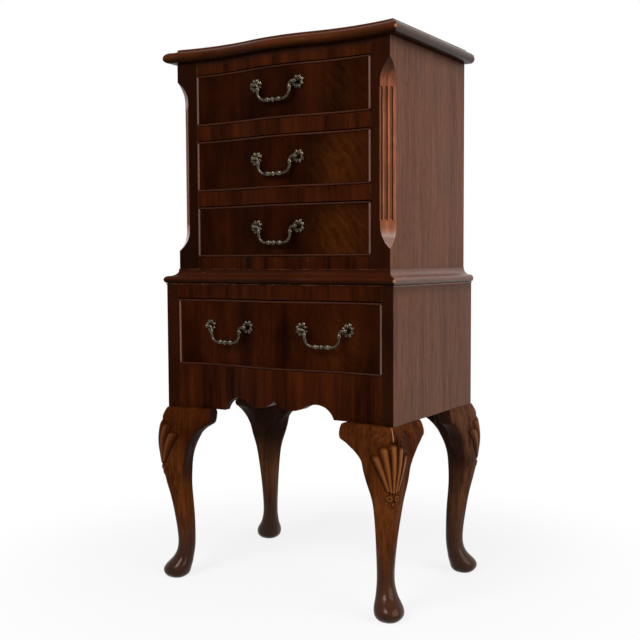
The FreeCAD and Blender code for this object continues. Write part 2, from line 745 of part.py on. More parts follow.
def ear_blank():
    """An ear for the front of the front right knee, sawn in two directions."""
    root = f"({EAR_END} + ear_length + overrun)"
    low = "(leg_height - ear_height)"
    ear = new_body("ear_blank")
    swell = outline(ear, "ear_swell", "YZ_Plane", [
        (f"{FRONT} - ear_proud_top", "leg_height"),
        (f"{FRONT} - ear_proud_low", low, "ear_bulge_radius", 1),
        (f"{FRONT} + ear_depth", low),
        (f"{FRONT} + ear_depth", "leg_height"),
    ], EAR_END)
    pad(ear, swell, "ear_length + overrun")
    tip = tangent_radius("(ear_tip / 2)", "ear_tip_bulge")
    saw = outline(ear, "ear_saw", "XZ_Plane", [
        (f"{EAR_END} + ear_tip_bulge", "leg_height"),
        (f"{EAR_END} + ear_tip_bulge", "leg_height - ear_tip", tip, 1),
        (f"{EAR_END} + ear_length + ear_root", low, "ear_arch_radius", -1),
        (root, low),
        (root, f"{low} - overrun"),
        (f"{EAR_END} - overrun", f"{low} - overrun"),
        (f"{EAR_END} - overrun", "leg_height"),
    ])
    pocket_through(ear, saw)
    return ear


front_blank = ear_blank()
side_blank = mirror("ear_side_blank", front_blank, X_AXIS + Y_AXIS, (CASE_HALF, FRONT, "0"))
front_ear = cut("ear_front", front_blank, front_right)
side_ear = cut("ear_side", side_blank, front_right)
right_ears = group("ears_right", [front_ear, side_ear])
front_ears = group("ears_front", [right_ears, mirror("ears_left", right_ears, X_AXIS)])
node(group("knee_brackets", [front_ears, mirror("ears_back", front_ears, Y_AXIS)]))


# Drawer runners with their guides
def runner(label, wall, half, start, level):
    inner = f"({half} - drawer_side_gap - drawer_side_thickness)"
    guide = f"({half} - drawer_side_gap + guide_play)"
    strip = new_body(label)
    section = outline(strip, label + "_section", "XZ_Plane", [
        (inner, f"{level} - runner_height"),
        (wall, f"{level} - runner_height"),
        (wall, f"{level} + guide_height"),
        (guide, f"{level} + guide_height"),
        (guide, level),
        (inner, level),
    ], f"0 - {start}")
    pad(strip, section, f"{BACK_INSIDE} - {start}", reverse=True)
    return strip


runners = [runner("lower_runner", CASE_INSIDE, LOWER_OPENING_HALF, APRON_BACK, LOWER_OPENING_LEVEL)]
for place in UPPER_PLACES:
    runners.append(runner(f"upper_runner_{place}", UPPER_INSIDE, UPPER_OPENING_HALF, UPPER_RAIL_BACK,
                          upper_opening_level(place)))
right_runners = group("runners_right", runners)
node(group("drawer_runners", [right_runners, mirror("runners_left", right_runners, X_AXIS)]))


# Handles, drawn about the middle of the bail's pins: posts turned with their rosettes and bolts, nuts, bails
def rod(label, radius, start, length):
    """A cylinder on the right-hand bolt's axis."""
    piece = doc.addObject("Part::Cylinder", label)
    piece.setExpression("Radius", bound(radius))
    piece.setExpression("Height", bound(length))
    return on_bolt_axis(piece, start)


def on_bolt_axis(piece, start):
    piece.Placement = FreeCAD.Placement(FreeCAD.Vector(), FreeCAD.Rotation(Z_AXIS, Y_AXIS))
    piece.setExpression("Placement.Base.x", bound("handle_spacing / 2"))
    piece.setExpression("Placement.Base.y", bound(start))
    return piece


def handle_post():
    place = ("handle_spacing / 2", "0")
    neck_end = "(handle_reach - sqrt(knob_radius * knob_radius - neck_radius * neck_radius))"
    dome = tangent_radius("(rosette_radius - neck_radius)", "(rosette_dome - rosette_rim)")
    bolt_tip = "nut_seat + nut_height + bolt_end"
    post = new_body("handle_post")
    profile = outline(post, "post_profile", "XY_Plane", [
        ("0", "0 - handle_reach - knob_radius"),
        ("neck_radius", f"0 - {neck_end}", "knob_radius", 1),
        ("neck_radius", "0 - rosette_dome"),
        ("rosette_radius", "0 - rosette_rim", dome, 1),
        ("rosette_radius", "rosette_seat"),
        ("bolt_radius", "rosette_seat"),
        ("bolt_radius", bolt_tip),
        ("0", bolt_tip),
    ], shift=place)
    revolve(post, "Revolution", profile, "V_Axis")
    notch = new_sketch(post, "petal_notch_ring", "XZ_Plane", shift=place)
    add_ring(notch, "petal_notch", ("rosette_radius", "0"))
    first_notch = pocket_through(post, notch)
    petals = post.newObject("PartDesign::PolarPattern", "petals")
    petals.Originals = [first_notch]
    petals.Axis = (notch, ["N_Axis"])
    petals.setExpression("Occurrences", bound("petal_count"))
    post.Tip = petals
    past = "bail_pin_past + bail_end_gap"
    bore = new_sketch(post, "bail_bore", "YZ_Plane", f"handle_spacing / 2 + {past}")
    add_ring(bore, "bail_radius + bail_play", ("0 - handle_reach", "0"))
    hole = post.newObject("PartDesign::Pocket", "bail_bore_cut")
    hole.Profile = bore
    hole.setExpression("Length", bound(f"{past} + overrun"))
    return post


def handle_nut():
    blank = doc.addObject("Part::Prism", "nut_blank")
    blank.Polygon = NUT_SIDES
    blank.setExpression("Circumradius", bound("nut_radius"))
    blank.setExpression("Height", bound("nut_height"))
    on_bolt_axis(blank, "nut_seat")
    bore = rod("nut_bore", "bolt_radius + thread_play", "nut_seat - overrun", "2 * overrun")
    return cut("handle_nut", blank, bore)


def handle_bail():
    """The bail: a bar bent from pin to pin, with a bead and two leaves at the middle of its grip."""
    bail = new_body("handle_bail")
    grip = "(bail_drop - bail_corner)"
    ring = new_sketch(bail, "bail_ring", "YZ_Plane", "handle_spacing / 2 + bail_pin_past")
    add_ring(ring, "bail_radius", ("0 - handle_reach", "0"))
    path = draw(new_sketch(bail, "bail_path", "XZ_Plane", "handle_reach"), [
        ("handle_spacing / 2 + bail_pin_past", "0"),
        ("bail_half + bail_shoulder", "0"),
        ("bail_half", "0 - bail_shoulder", "bail_shoulder", 1),
        ("bail_half", f"0 - {grip}"),
        ("bail_half - bail_corner", "0 - bail_drop", "bail_corner", -1),
        ("0", "0 - bail_drop"),
    ], closed=False)
    bar = pipe(bail, "AdditivePipe", ring, path)
    bead_top = "bead_waist + bead_arc - sqrt(bead_arc * bead_arc - bead_half * bead_half)"
    swell = outline(bail, "bail_swell", "XZ_Plane", [
        ("0", "0"),
        ("0", bead_top),
        ("bead_half", "bead_waist", "bead_arc", -1),
        ("leaf_end", "leaf_tip", "leaf_arc", -1),
        ("leaf_end", "0"),
    ], "handle_reach", ("0", "0 - bail_drop"))
    mirrored(bail, [bar, revolve(bail, "Revolution", swell, "H_Axis")])
    return bail


NUT_SIDES = 6
POST = handle_post()
NUT = handle_nut()
POSTS = group("posts", [POST, NUT, mirror("post_left", POST, X_AXIS), mirror("nut_left", NUT, X_AXIS)])
BOLT_HOLE = doc.addObject("Part::Fuse", "bolt_hole")
BOLT_HOLE.Base = rod("bolt_clearance", "bolt_radius + bolt_play", "0 - overrun", "2 * overrun")
BOLT_HOLE.Tool = rod("nut_recess", "nut_radius + nut_play", "nut_seat", "2 * overrun")
HOLES = group("holes", [BOLT_HOLE, mirror("bolt_hole_left", BOLT_HOLE, X_AXIS)])
BAIL = handle_bail()


def handle_frame(offset, level, crown):
    """Where a handle stands: the middle of the chord under its posts, and the chord's turn in plan."""
    near = face_y(f"abs({offset} - handle_spacing / 2)", crown)
    far = face_y(f"({offset} + handle_spacing / 2)", crown)
    return offset, f"(({near} + {far}) / 2)", level, f"asin(({far} - {near}) / handle_spacing)"


def placed(label, piece, frame):
    """A copy of a handle piece in its drawer."""
    copy = group(label, [piece])
    copy.Placement = FreeCAD.Placement(FreeCAD.Vector(), FreeCAD.Rotation(Z_AXIS, number(frame[3])))
    for axis, text in zip("xyz", frame):
        copy.setExpression("Placement.Base." + axis, bound(text))
    copy.setExpression("Placement.Rotation.Angle", bound(frame[3]))
    return copy


# Drawers
def rounded(body, chosen):
    """Rounds the chosen edges of a bead strip."""
    doc.recompute()
    blank = body.Tip
    strip = body.newObject("PartDesign::Fillet", body.Name + "_round")
    edges = enumerate(blank.Shape.Edges, start=1)
    strip.Base = (blank, [f"Edge{place}" for place, edge in edges if chosen(edge)])
    strip.setExpression("Radius", bound("bead_round"))
    return body


def cockbead(name, level, opening, half, crown, back):
    """Four strips round a drawer front, standing proud of it."""
    nose = f"({crown} - bead_proud)"
    outer = f"({half} - drawer_gap)"
    low = f"({level} + drawer_gap)"
    high = f"({level} + {opening} - drawer_top_gap - bead_width)"
    strips = []
    for end, height in (("bottom", low), ("top", high)):
        strip = serpentine_board(f"{name}_bead_{end}", nose, outer, back, height, "bead_width")
        strips.append(rounded(strip, lambda edge: edge.Curve.TypeId == "Part::GeomCircle"))
    inner = f"({outer} - bead_width)"
    upright = board(f"{name}_bead_right", [
        (inner, line_y(inner, nose)),
        (outer, line_y(outer, nose), CURVE_RADIUS, -1),
        (outer, back),
        (inner, back),
    ], f"{low} + bead_width", f"{high} - {low} - bead_width")
    core_face = number(f"{back} - front_thickness")
    rounded(upright, lambda edge: edge.Curve.TypeId == "Part::GeomLine" and edge.BoundBox.YMax < core_face)
    return group(f"{name}_cockbead", [*strips, upright, mirror(f"{name}_bead_left", upright, X_AXIS)])


def drawer(name, level, opening, half, crown, share, offset):
    """One drawer; offset is the handle's place right of the middle, 0 where there is a single handle."""
    back = f"({crown} + hollow_depth + front_thickness)"
    rear = f"({BACK_INSIDE} - drawer_back_gap)"
    inner = f"({half} - drawer_side_gap - drawer_side_thickness)"
    seat = f"({level} + drawer_seat)"
    side_height = f"({opening} - drawer_seat - drawer_side_drop)"
    floor = f"({seat} + drawer_bottom_lift)"
    tongue = "(groove_depth + groove_play)"
    groove = box(f"{name}_groove",
                 (f"0 - {inner} - {tongue}", f"{back} - {tongue}", f"{floor} - groove_play"),
                 (f"2 * ({inner} + {tongue})", f"{rear} - {back} + {tongue} + overrun",
                  "drawer_bottom_thickness + 2 * groove_play"))
    frame = handle_frame(offset, f"({level} + {opening} * {share})", crown)
    posts = placed(f"{name}_posts", POSTS, frame)
    holes = placed(f"{name}_holes", HOLES, frame)
    if offset == "0":
        node(placed(f"{name}_bail", BAIL, frame))
    else:
        posts = group(f"{name}_all_posts", [posts, mirror(f"{name}_posts_left", posts, X_AXIS)])
        holes = group(f"{name}_all_holes", [holes, mirror(f"{name}_holes_left", holes, X_AXIS)])
        pair(f"{name}_bail", placed(f"{name}_bail_right", BAIL, frame))
    margin = "(drawer_gap + bead_width)"
    core = serpentine_board(f"{name}_core", crown, f"({half} - {margin})", back, f"{level} + {margin}",
                            f"{opening} - {margin} - drawer_top_gap - bead_width")
    front = node(cut(f"{name}_front", core, group(f"{name}_front_cuts", [groove, holes])))
    node(cut(f"{name}_handle_posts", posts, front))
    node(cockbead(name, level, opening, half, crown, back))
    side = box(f"{name}_side_blank", (inner, back, seat),
               ("drawer_side_thickness", f"{rear} - {back}", side_height))
    pair(f"{name}_side", cut(f"{name}_side_right", side, groove))
    node(box(f"{name}_bottom", (f"0 - {inner} - groove_depth", f"{back} - groove_depth", floor),
             (f"2 * ({inner} + groove_depth)", f"{rear} - {back} + groove_depth", "drawer_bottom_thickness")))
    node(box(f"{name}_back",
             (f"0 - {inner}", f"{rear} - drawer_side_thickness", f"{floor} + drawer_bottom_thickness"),
             (f"2 * {inner}", "drawer_side_thickness",
              f"{side_height} - drawer_bottom_lift - drawer_bottom_thickness")))


for place, share in zip(UPPER_PLACES, ("handle_top_share", "handle_share", "handle_share")):
    drawer(f"upper_drawer_{place}", upper_opening_level(place), UPPER_OPENING, UPPER_OPENING_HALF,
           UPPER_CROWN, share, "0")
drawer("lower_drawer", LOWER_OPENING_LEVEL, LOWER_OPENING, LOWER_OPENING_HALF, LOWER_CROWN,
       "handle_lower_share", f"({LOWER_OPENING_HALF} * handle_offset_share)")


# Checks, then one file for each node
doc.recompute()
faults = [item.Name for item in doc.Objects if "Invalid" in item.State or "Error" in item.State]
faults += [piece.Label for piece in NODES if piece.Shape.isNull() or not piece.Shape.isValid()]
if faults:
    raise RuntimeError("not built: " + ", ".join(faults))
for piece in NODES:
    piece.Shape.exportStep(f"parts/{piece.Label}.step")
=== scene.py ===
import json
import math

import bpy
import numpy as np
from mathutils import Matrix, Vector

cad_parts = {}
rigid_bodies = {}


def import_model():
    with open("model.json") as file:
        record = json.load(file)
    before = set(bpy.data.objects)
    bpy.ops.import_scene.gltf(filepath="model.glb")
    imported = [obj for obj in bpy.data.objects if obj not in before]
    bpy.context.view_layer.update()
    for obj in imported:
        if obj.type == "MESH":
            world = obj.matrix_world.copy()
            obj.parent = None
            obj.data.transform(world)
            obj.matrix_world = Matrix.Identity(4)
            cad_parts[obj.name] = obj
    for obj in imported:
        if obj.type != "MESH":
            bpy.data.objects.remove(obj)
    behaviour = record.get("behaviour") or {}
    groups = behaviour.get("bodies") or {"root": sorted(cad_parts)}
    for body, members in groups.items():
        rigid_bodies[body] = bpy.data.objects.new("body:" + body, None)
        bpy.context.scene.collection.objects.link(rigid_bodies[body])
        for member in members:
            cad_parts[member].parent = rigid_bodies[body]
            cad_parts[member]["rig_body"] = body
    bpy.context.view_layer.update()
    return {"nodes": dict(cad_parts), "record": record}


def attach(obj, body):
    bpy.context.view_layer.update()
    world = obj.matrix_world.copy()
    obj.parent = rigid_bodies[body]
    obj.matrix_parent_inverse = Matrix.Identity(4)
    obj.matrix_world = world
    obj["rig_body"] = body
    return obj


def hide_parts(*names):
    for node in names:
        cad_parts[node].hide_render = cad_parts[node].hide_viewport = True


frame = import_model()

# Cabriole legs with their knee brackets.
# Solid mahogany, sawn and spokeshaved to an S line, the brackets glued beside each knee and carved flush with it.
# A five-lobed shell with two scrolls and a drop is carved into each knee, and the foot is turned to a pad.


def add(tree, kind, inputs=None, **settings):
    """Adds a shader node, with its settings and with its inputs as values or as other nodes' outputs."""
    made = tree.nodes.new(kind)
    for name, value in settings.items():
        setattr(made, name, value)
    for name, value in (inputs or {}).items():
        if isinstance(value, bpy.types.NodeSocket):
            tree.links.new(value, made.inputs[name])
        else:
            made.inputs[name].default_value = value
    return made


def math_node(tree, operation, first, second, clamp=False):
    """One sum on two values."""
    return add(tree, "ShaderNodeMath", {0: first, 1: second}, operation=operation, use_clamp=clamp).outputs[0]


def graded(tree, value, start, end, low=0.0, high=1.0, soft=False):
    """Turns a value that runs from start to end into one that runs from low to high."""
    return add(tree, "ShaderNodeMapRange", {"Value": value, "From Min": start, "From Max": end, "To Min": low,
                                            "To Max": high},
               interpolation_type="SMOOTHSTEP" if soft else "LINEAR").outputs[0]


def mix_colour(tree, share, first, second, blend="MIX"):
    """A share of the second colour over the first."""
    return add(tree, "ShaderNodeMix", {0: share, 6: first, 7: second}, data_type="RGBA", blend_type=blend).outputs[2]


def toned(tree, colour, tone):
    """A colour made darker or lighter by a factor that changes over the surface."""
    grey = add(tree, "ShaderNodeCombineColor", {0: tone, 1: tone, 2: tone}).outputs[0]
    return mix_colour(tree, 1.0, colour, grey, "MULTIPLY")


def noise(tree, vector, scale, detail=3.0, rough=0.55):
    """Soft random pattern."""
    return add(tree, "ShaderNodeTexNoise", {"Vector": vector, "Scale": scale, "Detail": detail, "Roughness": rough})


def stretched(tree, vector, along):
    """Coordinates that run slowly along the grain, which follows Z here."""
    return add(tree, "ShaderNodeVectorMath", {0: vector, 1: (1.0, 1.0, along)}, operation="MULTIPLY").outputs[0]


def own_place(tree):
    """Where a point lies on the chest."""
    return tree.nodes.new("ShaderNodeTexCoord").outputs["Object"]


def own_height(tree):
    """How high a point lies above the floor."""
    return add(tree, "ShaderNodeSeparateXYZ", {0: own_place(tree)}).outputs[2]


def new_group(name, inputs, outputs):
    """An empty node group with named inputs and outputs."""
    tree = bpy.data.node_groups.new(name, "ShaderNodeTree")
    for label, kind, value in inputs:
        socket = tree.interface.new_socket(label, in_out="INPUT", socket_type=kind)
        if value is not None:
            socket.default_value = value
    for label, kind in outputs:
        tree.interface.new_socket(label, in_out="OUTPUT", socket_type=kind)
    return tree, tree.nodes.new("NodeGroupInput"), tree.nodes.new("NodeGroupOutput")


def mahogany_grain():
    """Ribbon, fine streaks, open pores and slow clouding of mahogany whose grain runs along Z."""
    tree, given, put = new_group("mahogany_grain", [
        ("Vector", "NodeSocketVector", None),
        ("Dark", "NodeSocketColor", (0.02, 0.006, 0.003, 1.0)),
        ("Light", "NodeSocketColor", (0.06, 0.02, 0.008, 1.0)),
        ("Ribbon", "NodeSocketFloat", 0.8),
        ("Streak", "NodeSocketFloat", 0.6),
        ("Cloud", "NodeSocketFloat", 0.6),
        ("Pores", "NodeSocketFloat", 0.5),
    ], [("Color", "NodeSocketColor"), ("Height", "NodeSocketFloat"), ("Cloudy", "NodeSocketFloat")])
    sway = noise(tree, given.outputs["Vector"], scale=7.0, detail=2.0).outputs["Color"]
    centred = add(tree, "ShaderNodeVectorMath", {0: sway, 1: (0.5, 0.5, 0.5)}, operation="SUBTRACT").outputs[0]
    small = add(tree, "ShaderNodeVectorMath", {0: centred, "Scale": 0.014}, operation="SCALE").outputs[0]
    place = add(tree, "ShaderNodeVectorMath", {0: given.outputs["Vector"], 1: small}, operation="ADD").outputs[0]
    ribbon = noise(tree, stretched(tree, place, along=0.07), scale=46.0).outputs[0]
    streak = noise(tree, stretched(tree, place, along=0.025), scale=230.0, detail=4.0, rough=0.65).outputs[0]
    cloud = noise(tree, place, scale=8.0).outputs[0]
    speck = noise(tree, stretched(tree, place, along=0.04), scale=1150.0, detail=2.0).outputs[0]
    pore = graded(tree, speck, 0.33, 0.45, low=1.0, high=0.0)
    tone = 0.5
    for pattern, strength in ((ribbon, "Ribbon"), (streak, "Streak"), (cloud, "Cloud")):
        swing = math_node(tree, "MULTIPLY", math_node(tree, "SUBTRACT", pattern, 0.5), given.outputs[strength])
        tone = math_node(tree, "ADD", swing, tone)
    tone = math_node(tree, "ADD", tone, 0.0, clamp=True)
    wood = mix_colour(tree, tone, given.outputs["Dark"], given.outputs["Light"])
    deep = mix_colour(tree, 1.0, wood, (0.35, 0.3, 0.28, 1.0), "MULTIPLY")
    pored = mix_colour(tree, math_node(tree, "MULTIPLY", pore, given.outputs["Pores"]), wood, deep)
    tree.links.new(pored, put.inputs["Color"])
    tree.links.new(math_node(tree, "SUBTRACT", math_node(tree, "MULTIPLY", streak, 0.5), pore), put.inputs["Height"])
    tree.links.new(cloud, put.inputs["Cloudy"])
    return tree


def worn_arris():
    """A mask that is strong where rubbing has worn the polish from an edge, and broken up along it."""
    tree, given, put = new_group("worn_arris", [
        ("Vector", "NodeSocketVector", None),
        ("Reach", "NodeSocketFloat", 0.0015),
    ], [("Mask", "NodeSocketFloat"), ("Soft", "NodeSocketVector")])
    eased = add(tree, "ShaderNodeBevel", {"Radius": given.outputs["Reach"]}, samples=6).outputs[0]
    flat = tree.nodes.new("ShaderNodeNewGeometry").outputs["Normal"]
    along = add(tree, "ShaderNodeVectorMath", {0: eased, 1: flat}, operation="DOT_PRODUCT").outputs["Value"]
    edge = graded(tree, along, 0.985, 0.86)
    patch = noise(tree, given.outputs["Vector"], scale=34.0, detail=4.0, rough=0.7).outputs[0]
    broken = graded(tree, patch, 0.42, 0.68)
    tree.links.new(math_node(tree, "MULTIPLY", edge, broken), put.inputs["Mask"])
    tree.links.new(eased, put.inputs["Soft"])
    return tree


def scratches():
    """Fine pale scratches and specks in the polish, thinly spread."""
    tree, given, put = new_group("scratches", [("Vector", "NodeSocketVector", None)], [("Mask", "NodeSocketFloat")])
    line = noise(tree, stretched(tree, given.outputs["Vector"], along=0.12), scale=420.0, detail=2.0).outputs[0]
    region = noise(tree, given.outputs["Vector"], scale=19.0).outputs[0]
    thin = graded(tree, line, 0.69, 0.76)
    where = graded(tree, region, 0.52, 0.68)
    tree.links.new(math_node(tree, "MULTIPLY", thin, where), put.inputs["Mask"])
    return tree


GRAIN = mahogany_grain()
ARRIS = worn_arris()
SCRATCHES = scratches()
UPRIGHT = (0.0, 0.0, 0.0)
ACROSS = (0.0, math.pi / 2, 0.0)
FRONT_TO_BACK = (math.pi / 2, 0.0, 0.0)
CHIPPED_WOOD = (0.42, 0.2, 0.085, 1.0)


def polished(name, dark, light, turn=UPRIGHT, offset=(0.0, 0.0, 0.0), grain=(0.8, 0.6, 0.6, 0.5), worn=None,
             wear=0.6, scratched=0.35, chips=(), gloss=(0.3, 0.5), specular=0.06, tint=(1.0, 0.62, 0.45),
             reach=0.0015, bump=0.12, painted_shading=None):
    """A polished mahogany. turn lays its grain along a piece, grain holds the strengths of ribbon, streak, cloud and
    pores, worn is the colour of bare wood at rubbed edges, chips are places and sizes of chipped corners, and the last
    argument holds painted shade and light: how far faces that look down are painted darker and those that look up
    lighter."""
    finish = bpy.data.materials.new(name)
    finish.use_nodes = True
    tree = finish.node_tree
    shader = tree.nodes["Principled BSDF"]
    bare = (*(worn or light), 1.0)
    place = add(tree, "ShaderNodeMapping", {"Vector": own_place(tree), "Location": offset, "Rotation": turn}).outputs[0]
    wood = add(tree, "ShaderNodeGroup", node_tree=GRAIN)
    edges = add(tree, "ShaderNodeGroup", node_tree=ARRIS)
    marks = add(tree, "ShaderNodeGroup", node_tree=SCRATCHES)
    for group in (wood, edges, marks):
        tree.links.new(place, group.inputs["Vector"])
    wood.inputs["Dark"].default_value = (*dark, 1.0)
    wood.inputs["Light"].default_value = (*light, 1.0)
    for label, strength in zip(("Ribbon", "Streak", "Cloud", "Pores"), grain):
        wood.inputs[label].default_value = strength
    edges.inputs["Reach"].default_value = reach
    colour = mix_colour(tree, math_node(tree, "MULTIPLY", edges.outputs["Mask"], wear, clamp=True),
                        wood.outputs["Color"], bare)
    colour = mix_colour(tree, math_node(tree, "MULTIPLY", marks.outputs["Mask"], scratched), colour, bare)
    for spot, size in chips:
        where = own_place(tree)
        away = add(tree, "ShaderNodeVectorMath", {0: where, 1: spot}, operation="DISTANCE").outputs["Value"]
        rough_edge = math_node(tree, "MULTIPLY", noise(tree, where, scale=260.0).outputs[0], size)
        chip = graded(tree, math_node(tree, "ADD", away, rough_edge), size * 1.25, size)
        colour = mix_colour(tree, chip, colour, CHIPPED_WOOD)
    # Painted shade and light: faces that look down are darkened and faces that look up are lightened.
    if painted_shading:
        facing = tree.nodes.new("ShaderNodeNewGeometry").outputs["Normal"]
        upward = add(tree, "ShaderNodeSeparateXYZ", {0: facing}).outputs[2]
        colour = toned(tree, colour, graded(tree, upward, -0.7, 0.7, *painted_shading))
    tree.links.new(colour, shader.inputs["Base Color"])
    tree.links.new(graded(tree, wood.outputs["Cloudy"], 0.3, 0.7, *gloss), shader.inputs["Roughness"])
    relief = add(tree, "ShaderNodeBump", {"Height": wood.outputs["Height"], "Strength": bump, "Distance": 0.0004,
                                          "Normal": edges.outputs["Soft"]})
    tree.links.new(relief.outputs[0], shader.inputs["Normal"])
    shader.inputs["Specular IOR Level"].default_value = specular
    shader.inputs["Specular Tint"].default_value = (*tint, 1.0)
    return finish


def only(obj):
    """Selects one object and makes it the active one."""
    bpy.ops.object.select_all(action="DESELECT")
    obj.select_set(True)
    bpy.context.view_layer.objects.active = obj
    return obj


def blank_from(node_name, piece_name):
    """A new object with the CAD node's shape, its loose facets merged."""
    blank = bpy.data.objects.new(piece_name, frame["nodes"][node_name].data.copy())
    bpy.context.scene.collection.objects.link(blank)
    only(blank)
    if blank.data.has_custom_normals:
        bpy.ops.mesh.customdata_custom_splitnormals_clear()
    bpy.ops.object.mode_set(mode="EDIT")
    bpy.ops.mesh.select_all(action="SELECT")
    bpy.ops.mesh.remove_doubles(threshold=0.00001)
    bpy.ops.object.mode_set(mode="OBJECT")
    return blank


def dress(piece, finish):
    """Gives a piece one finish all over."""
    piece.data.materials.clear()
    piece.data.materials.append(finish)
    return piece


def apply_modifier(obj, kind, **settings):
    """Adds a modifier with its settings and applies it."""
    modifier = obj.modifiers.new(kind.lower(), kind)
    for name, value in settings.items():
        setattr(modifier, name, value)
    only(obj)
    bpy.ops.object.modifier_apply(modifier=modifier.name)


def sanded(obj, passes, group=""):
    """Smooths a surface, or only one vertex group of it."""
    apply_modifier(obj, "SMOOTH", factor=0.5, iterations=passes, vertex_group=group)


def ramp(values, start, end):
    """0 at start, 1 at end, easy at both."""
    share = np.clip((values - start) / (end - start), 0.0, 1.0)
    return share * share * (3.0 - 2.0 * share)


LEAST_WEIGHT = 0.001


def weighted(obj, name, weights):
    """A new vertex group with one weight for each vertex."""
    group = obj.vertex_groups.new(name=name)
    for index in np.nonzero(weights > LEAST_WEIGHT)[0]:
        group.add([int(index)], float(weights[index]), "REPLACE")
    return group.name


# The shell is drawn flat, by the distance beside the knee's middle line and the height above the floor.
# Lobes of one half: root and tip, each beside the middle and by height, and the half width at the tip
LOBES = ((0.0, 0.2215, 0.0, 0.3035, 0.0084), (0.0043, 0.2225, 0.0155, 0.2965, 0.0072),
         (0.0085, 0.2245, 0.0272, 0.281, 0.0058))
LOBE_ROOT = 0.0024
LOBE_ROOT_RISE = 0.5
LOBE_ROUND = 0.75
FILLET_RISE = 0.3
FILLET_REACH = 1.3
# Scroll and drop: ring, band and eye are shares of the scroll's radius, and rises are shares of the carving's depth
SCROLL = (0.0062, 0.211)
SCROLL_RADIUS = 0.0049
SCROLL_RING, SCROLL_BAND, SCROLL_EYE = 0.74, 0.28, 0.34
SCROLL_RISE = 0.8
DROP_HEIGHT = 0.2012
DROP_SLIM = 1.8
DROP_RISE = 0.7


def shell_relief(beside, height):
    """The carving's height, 0 at the sunk ground and 1 at the old surface, its crests, and how far each point lies
    from it."""
    relief = np.zeros_like(beside)
    crest = np.zeros_like(beside)
    away = np.full_like(beside, 1.0)
    for root_side, root_height, tip_side, tip_height, tip_width in LOBES:
        length = math.hypot(tip_side - root_side, tip_height - root_height)
        lean, rise = (tip_side - root_side) / length, (tip_height - root_height) / length
        along = (beside - root_side) * lean + (height - root_height) * rise
        across = (beside - root_side) * rise - (height - root_height) * lean
        share = np.clip(along / (length - tip_width), 0.0, 1.0)
        width = LOBE_ROOT + (tip_width - LOBE_ROOT) * share
        past = np.maximum(along - (length - tip_width), 0.0) + np.maximum(-along, 0.0)
        reach = np.hypot(across, past) / width
        crown = np.maximum(np.clip(1.0 - reach ** 2, 0.0, 1.0) ** LOBE_ROUND,
                           FILLET_RISE * ramp(reach, FILLET_REACH, 1.0))
        relief = np.maximum(relief, crown * (LOBE_ROOT_RISE + (1.0 - LOBE_ROOT_RISE) * share))
        crest = np.maximum(crest, 1.0 - reach)
        away = np.minimum(away, np.maximum(reach - 1.0, 0.0) * width)
    out = np.hypot(beside - SCROLL[0], height - SCROLL[1]) / SCROLL_RADIUS
    roll = np.maximum(1.0 - np.abs(out - SCROLL_RING) / SCROLL_BAND, 1.0 - out / SCROLL_EYE)
    relief = np.maximum(relief, SCROLL_RISE * np.sqrt(np.clip(roll, 0.0, 1.0)))
    drop = np.hypot(beside * DROP_SLIM, height - DROP_HEIGHT) / SCROLL_RADIUS
    relief = np.maximum(relief, DROP_RISE * np.sqrt(np.clip(1.0 - drop, 0.0, 1.0)))
    crest = np.maximum(crest, np.maximum(roll, 1.0 - drop))
    away = np.minimum(away, np.maximum(np.minimum(out, drop) - 1.0, 0.0) * SCROLL_RADIUS)
    return relief, crest, away


CORNER = Vector((0.237, -0.1625, 0.0))
OUTWARD = Vector((1.0, -1.0, 0.0)).normalized()
SIDEWAYS = Vector((1.0, 1.0, 0.0)).normalized()


def knee_rows(leg):
    """Each vertex's place, its steps sideways and outward from the case's corner, and how far it looks outward."""
    points = np.array([vertex.co for vertex in leg.data.vertices])
    normals = np.array([vertex.normal for vertex in leg.data.vertices])
    steps = points - np.array(CORNER)
    return points, steps @ np.array(SIDEWAYS), steps @ np.array(OUTWARD), normals @ np.array(OUTWARD)


# Rounding of the knee: its half width, at most a share of the leg's own, taken level by level. Each pair is where
# the work begins and where it is full, by height (FOOT, HEAD), beside the middle (SIDE) or by facing outward.
KNEE_HALF = 0.032
KNEE_SHARE = 0.72
KNEE_LEVELS = (0.17, 0.326)
LEVEL_STEP = 0.002
EVENED_LEVELS = 7
FRONT_LEAST = 0.15
KNEE_FACING = (0.05, 0.35)
KNEE_FOOT, KNEE_HEAD, KNEE_SIDE = (0.175, 0.215), (0.316, 0.296), (1.25, 0.8)
EAR_SWELL = 0.0022
EAR_SIDE, EAR_FOOT, EAR_HEAD = (0.012, 0.034), (0.19, 0.24), (0.321, 0.309)


def fuller_knee(leg):
    """Rounds the knee's corner to one broad curve across, without moving its middle line, and swells the ears."""
    points, sideways, outward, facing = knee_rows(leg)
    beside, height = np.abs(sideways), points[:, 2].copy()
    levels = np.arange(*KNEE_LEVELS, LEVEL_STEP)
    curves = []
    for level in levels:
        band = (facing > FRONT_LEAST) & (np.abs(height - level) < LEVEL_STEP)
        middle = outward[band & (beside < LEVEL_STEP)].mean()
        half = min(KNEE_HALF, KNEE_SHARE * beside[band].max())
        curves.append((middle, half, middle - outward[band & (np.abs(beside - half) < LEVEL_STEP)].mean()))
    even = np.ones(EVENED_LEVELS) / EVENED_LEVELS
    padded = [np.pad(row, EVENED_LEVELS // 2, mode="edge") for row in zip(*curves)]
    middle, half, drop = (np.interp(height, levels, np.convolve(row, even, mode="valid")) for row in padded)
    share = beside / half
    weight = ramp(facing, *KNEE_FACING) * ramp(height, *KNEE_FOOT) * ramp(height, *KNEE_HEAD) * ramp(share, *KNEE_SIDE)
    points += np.outer((middle - drop * share ** 2 - outward) * weight, np.array(OUTWARD))
    fuller = ramp(beside, *EAR_SIDE) * ramp(height, *EAR_FOOT) * ramp(height, *EAR_HEAD)
    points += np.outer(np.sign(sideways) * fuller * EAR_SWELL, np.array(SIDEWAYS))
    leg.data.vertices.foreach_set("co", points.ravel())
    leg.data.update()


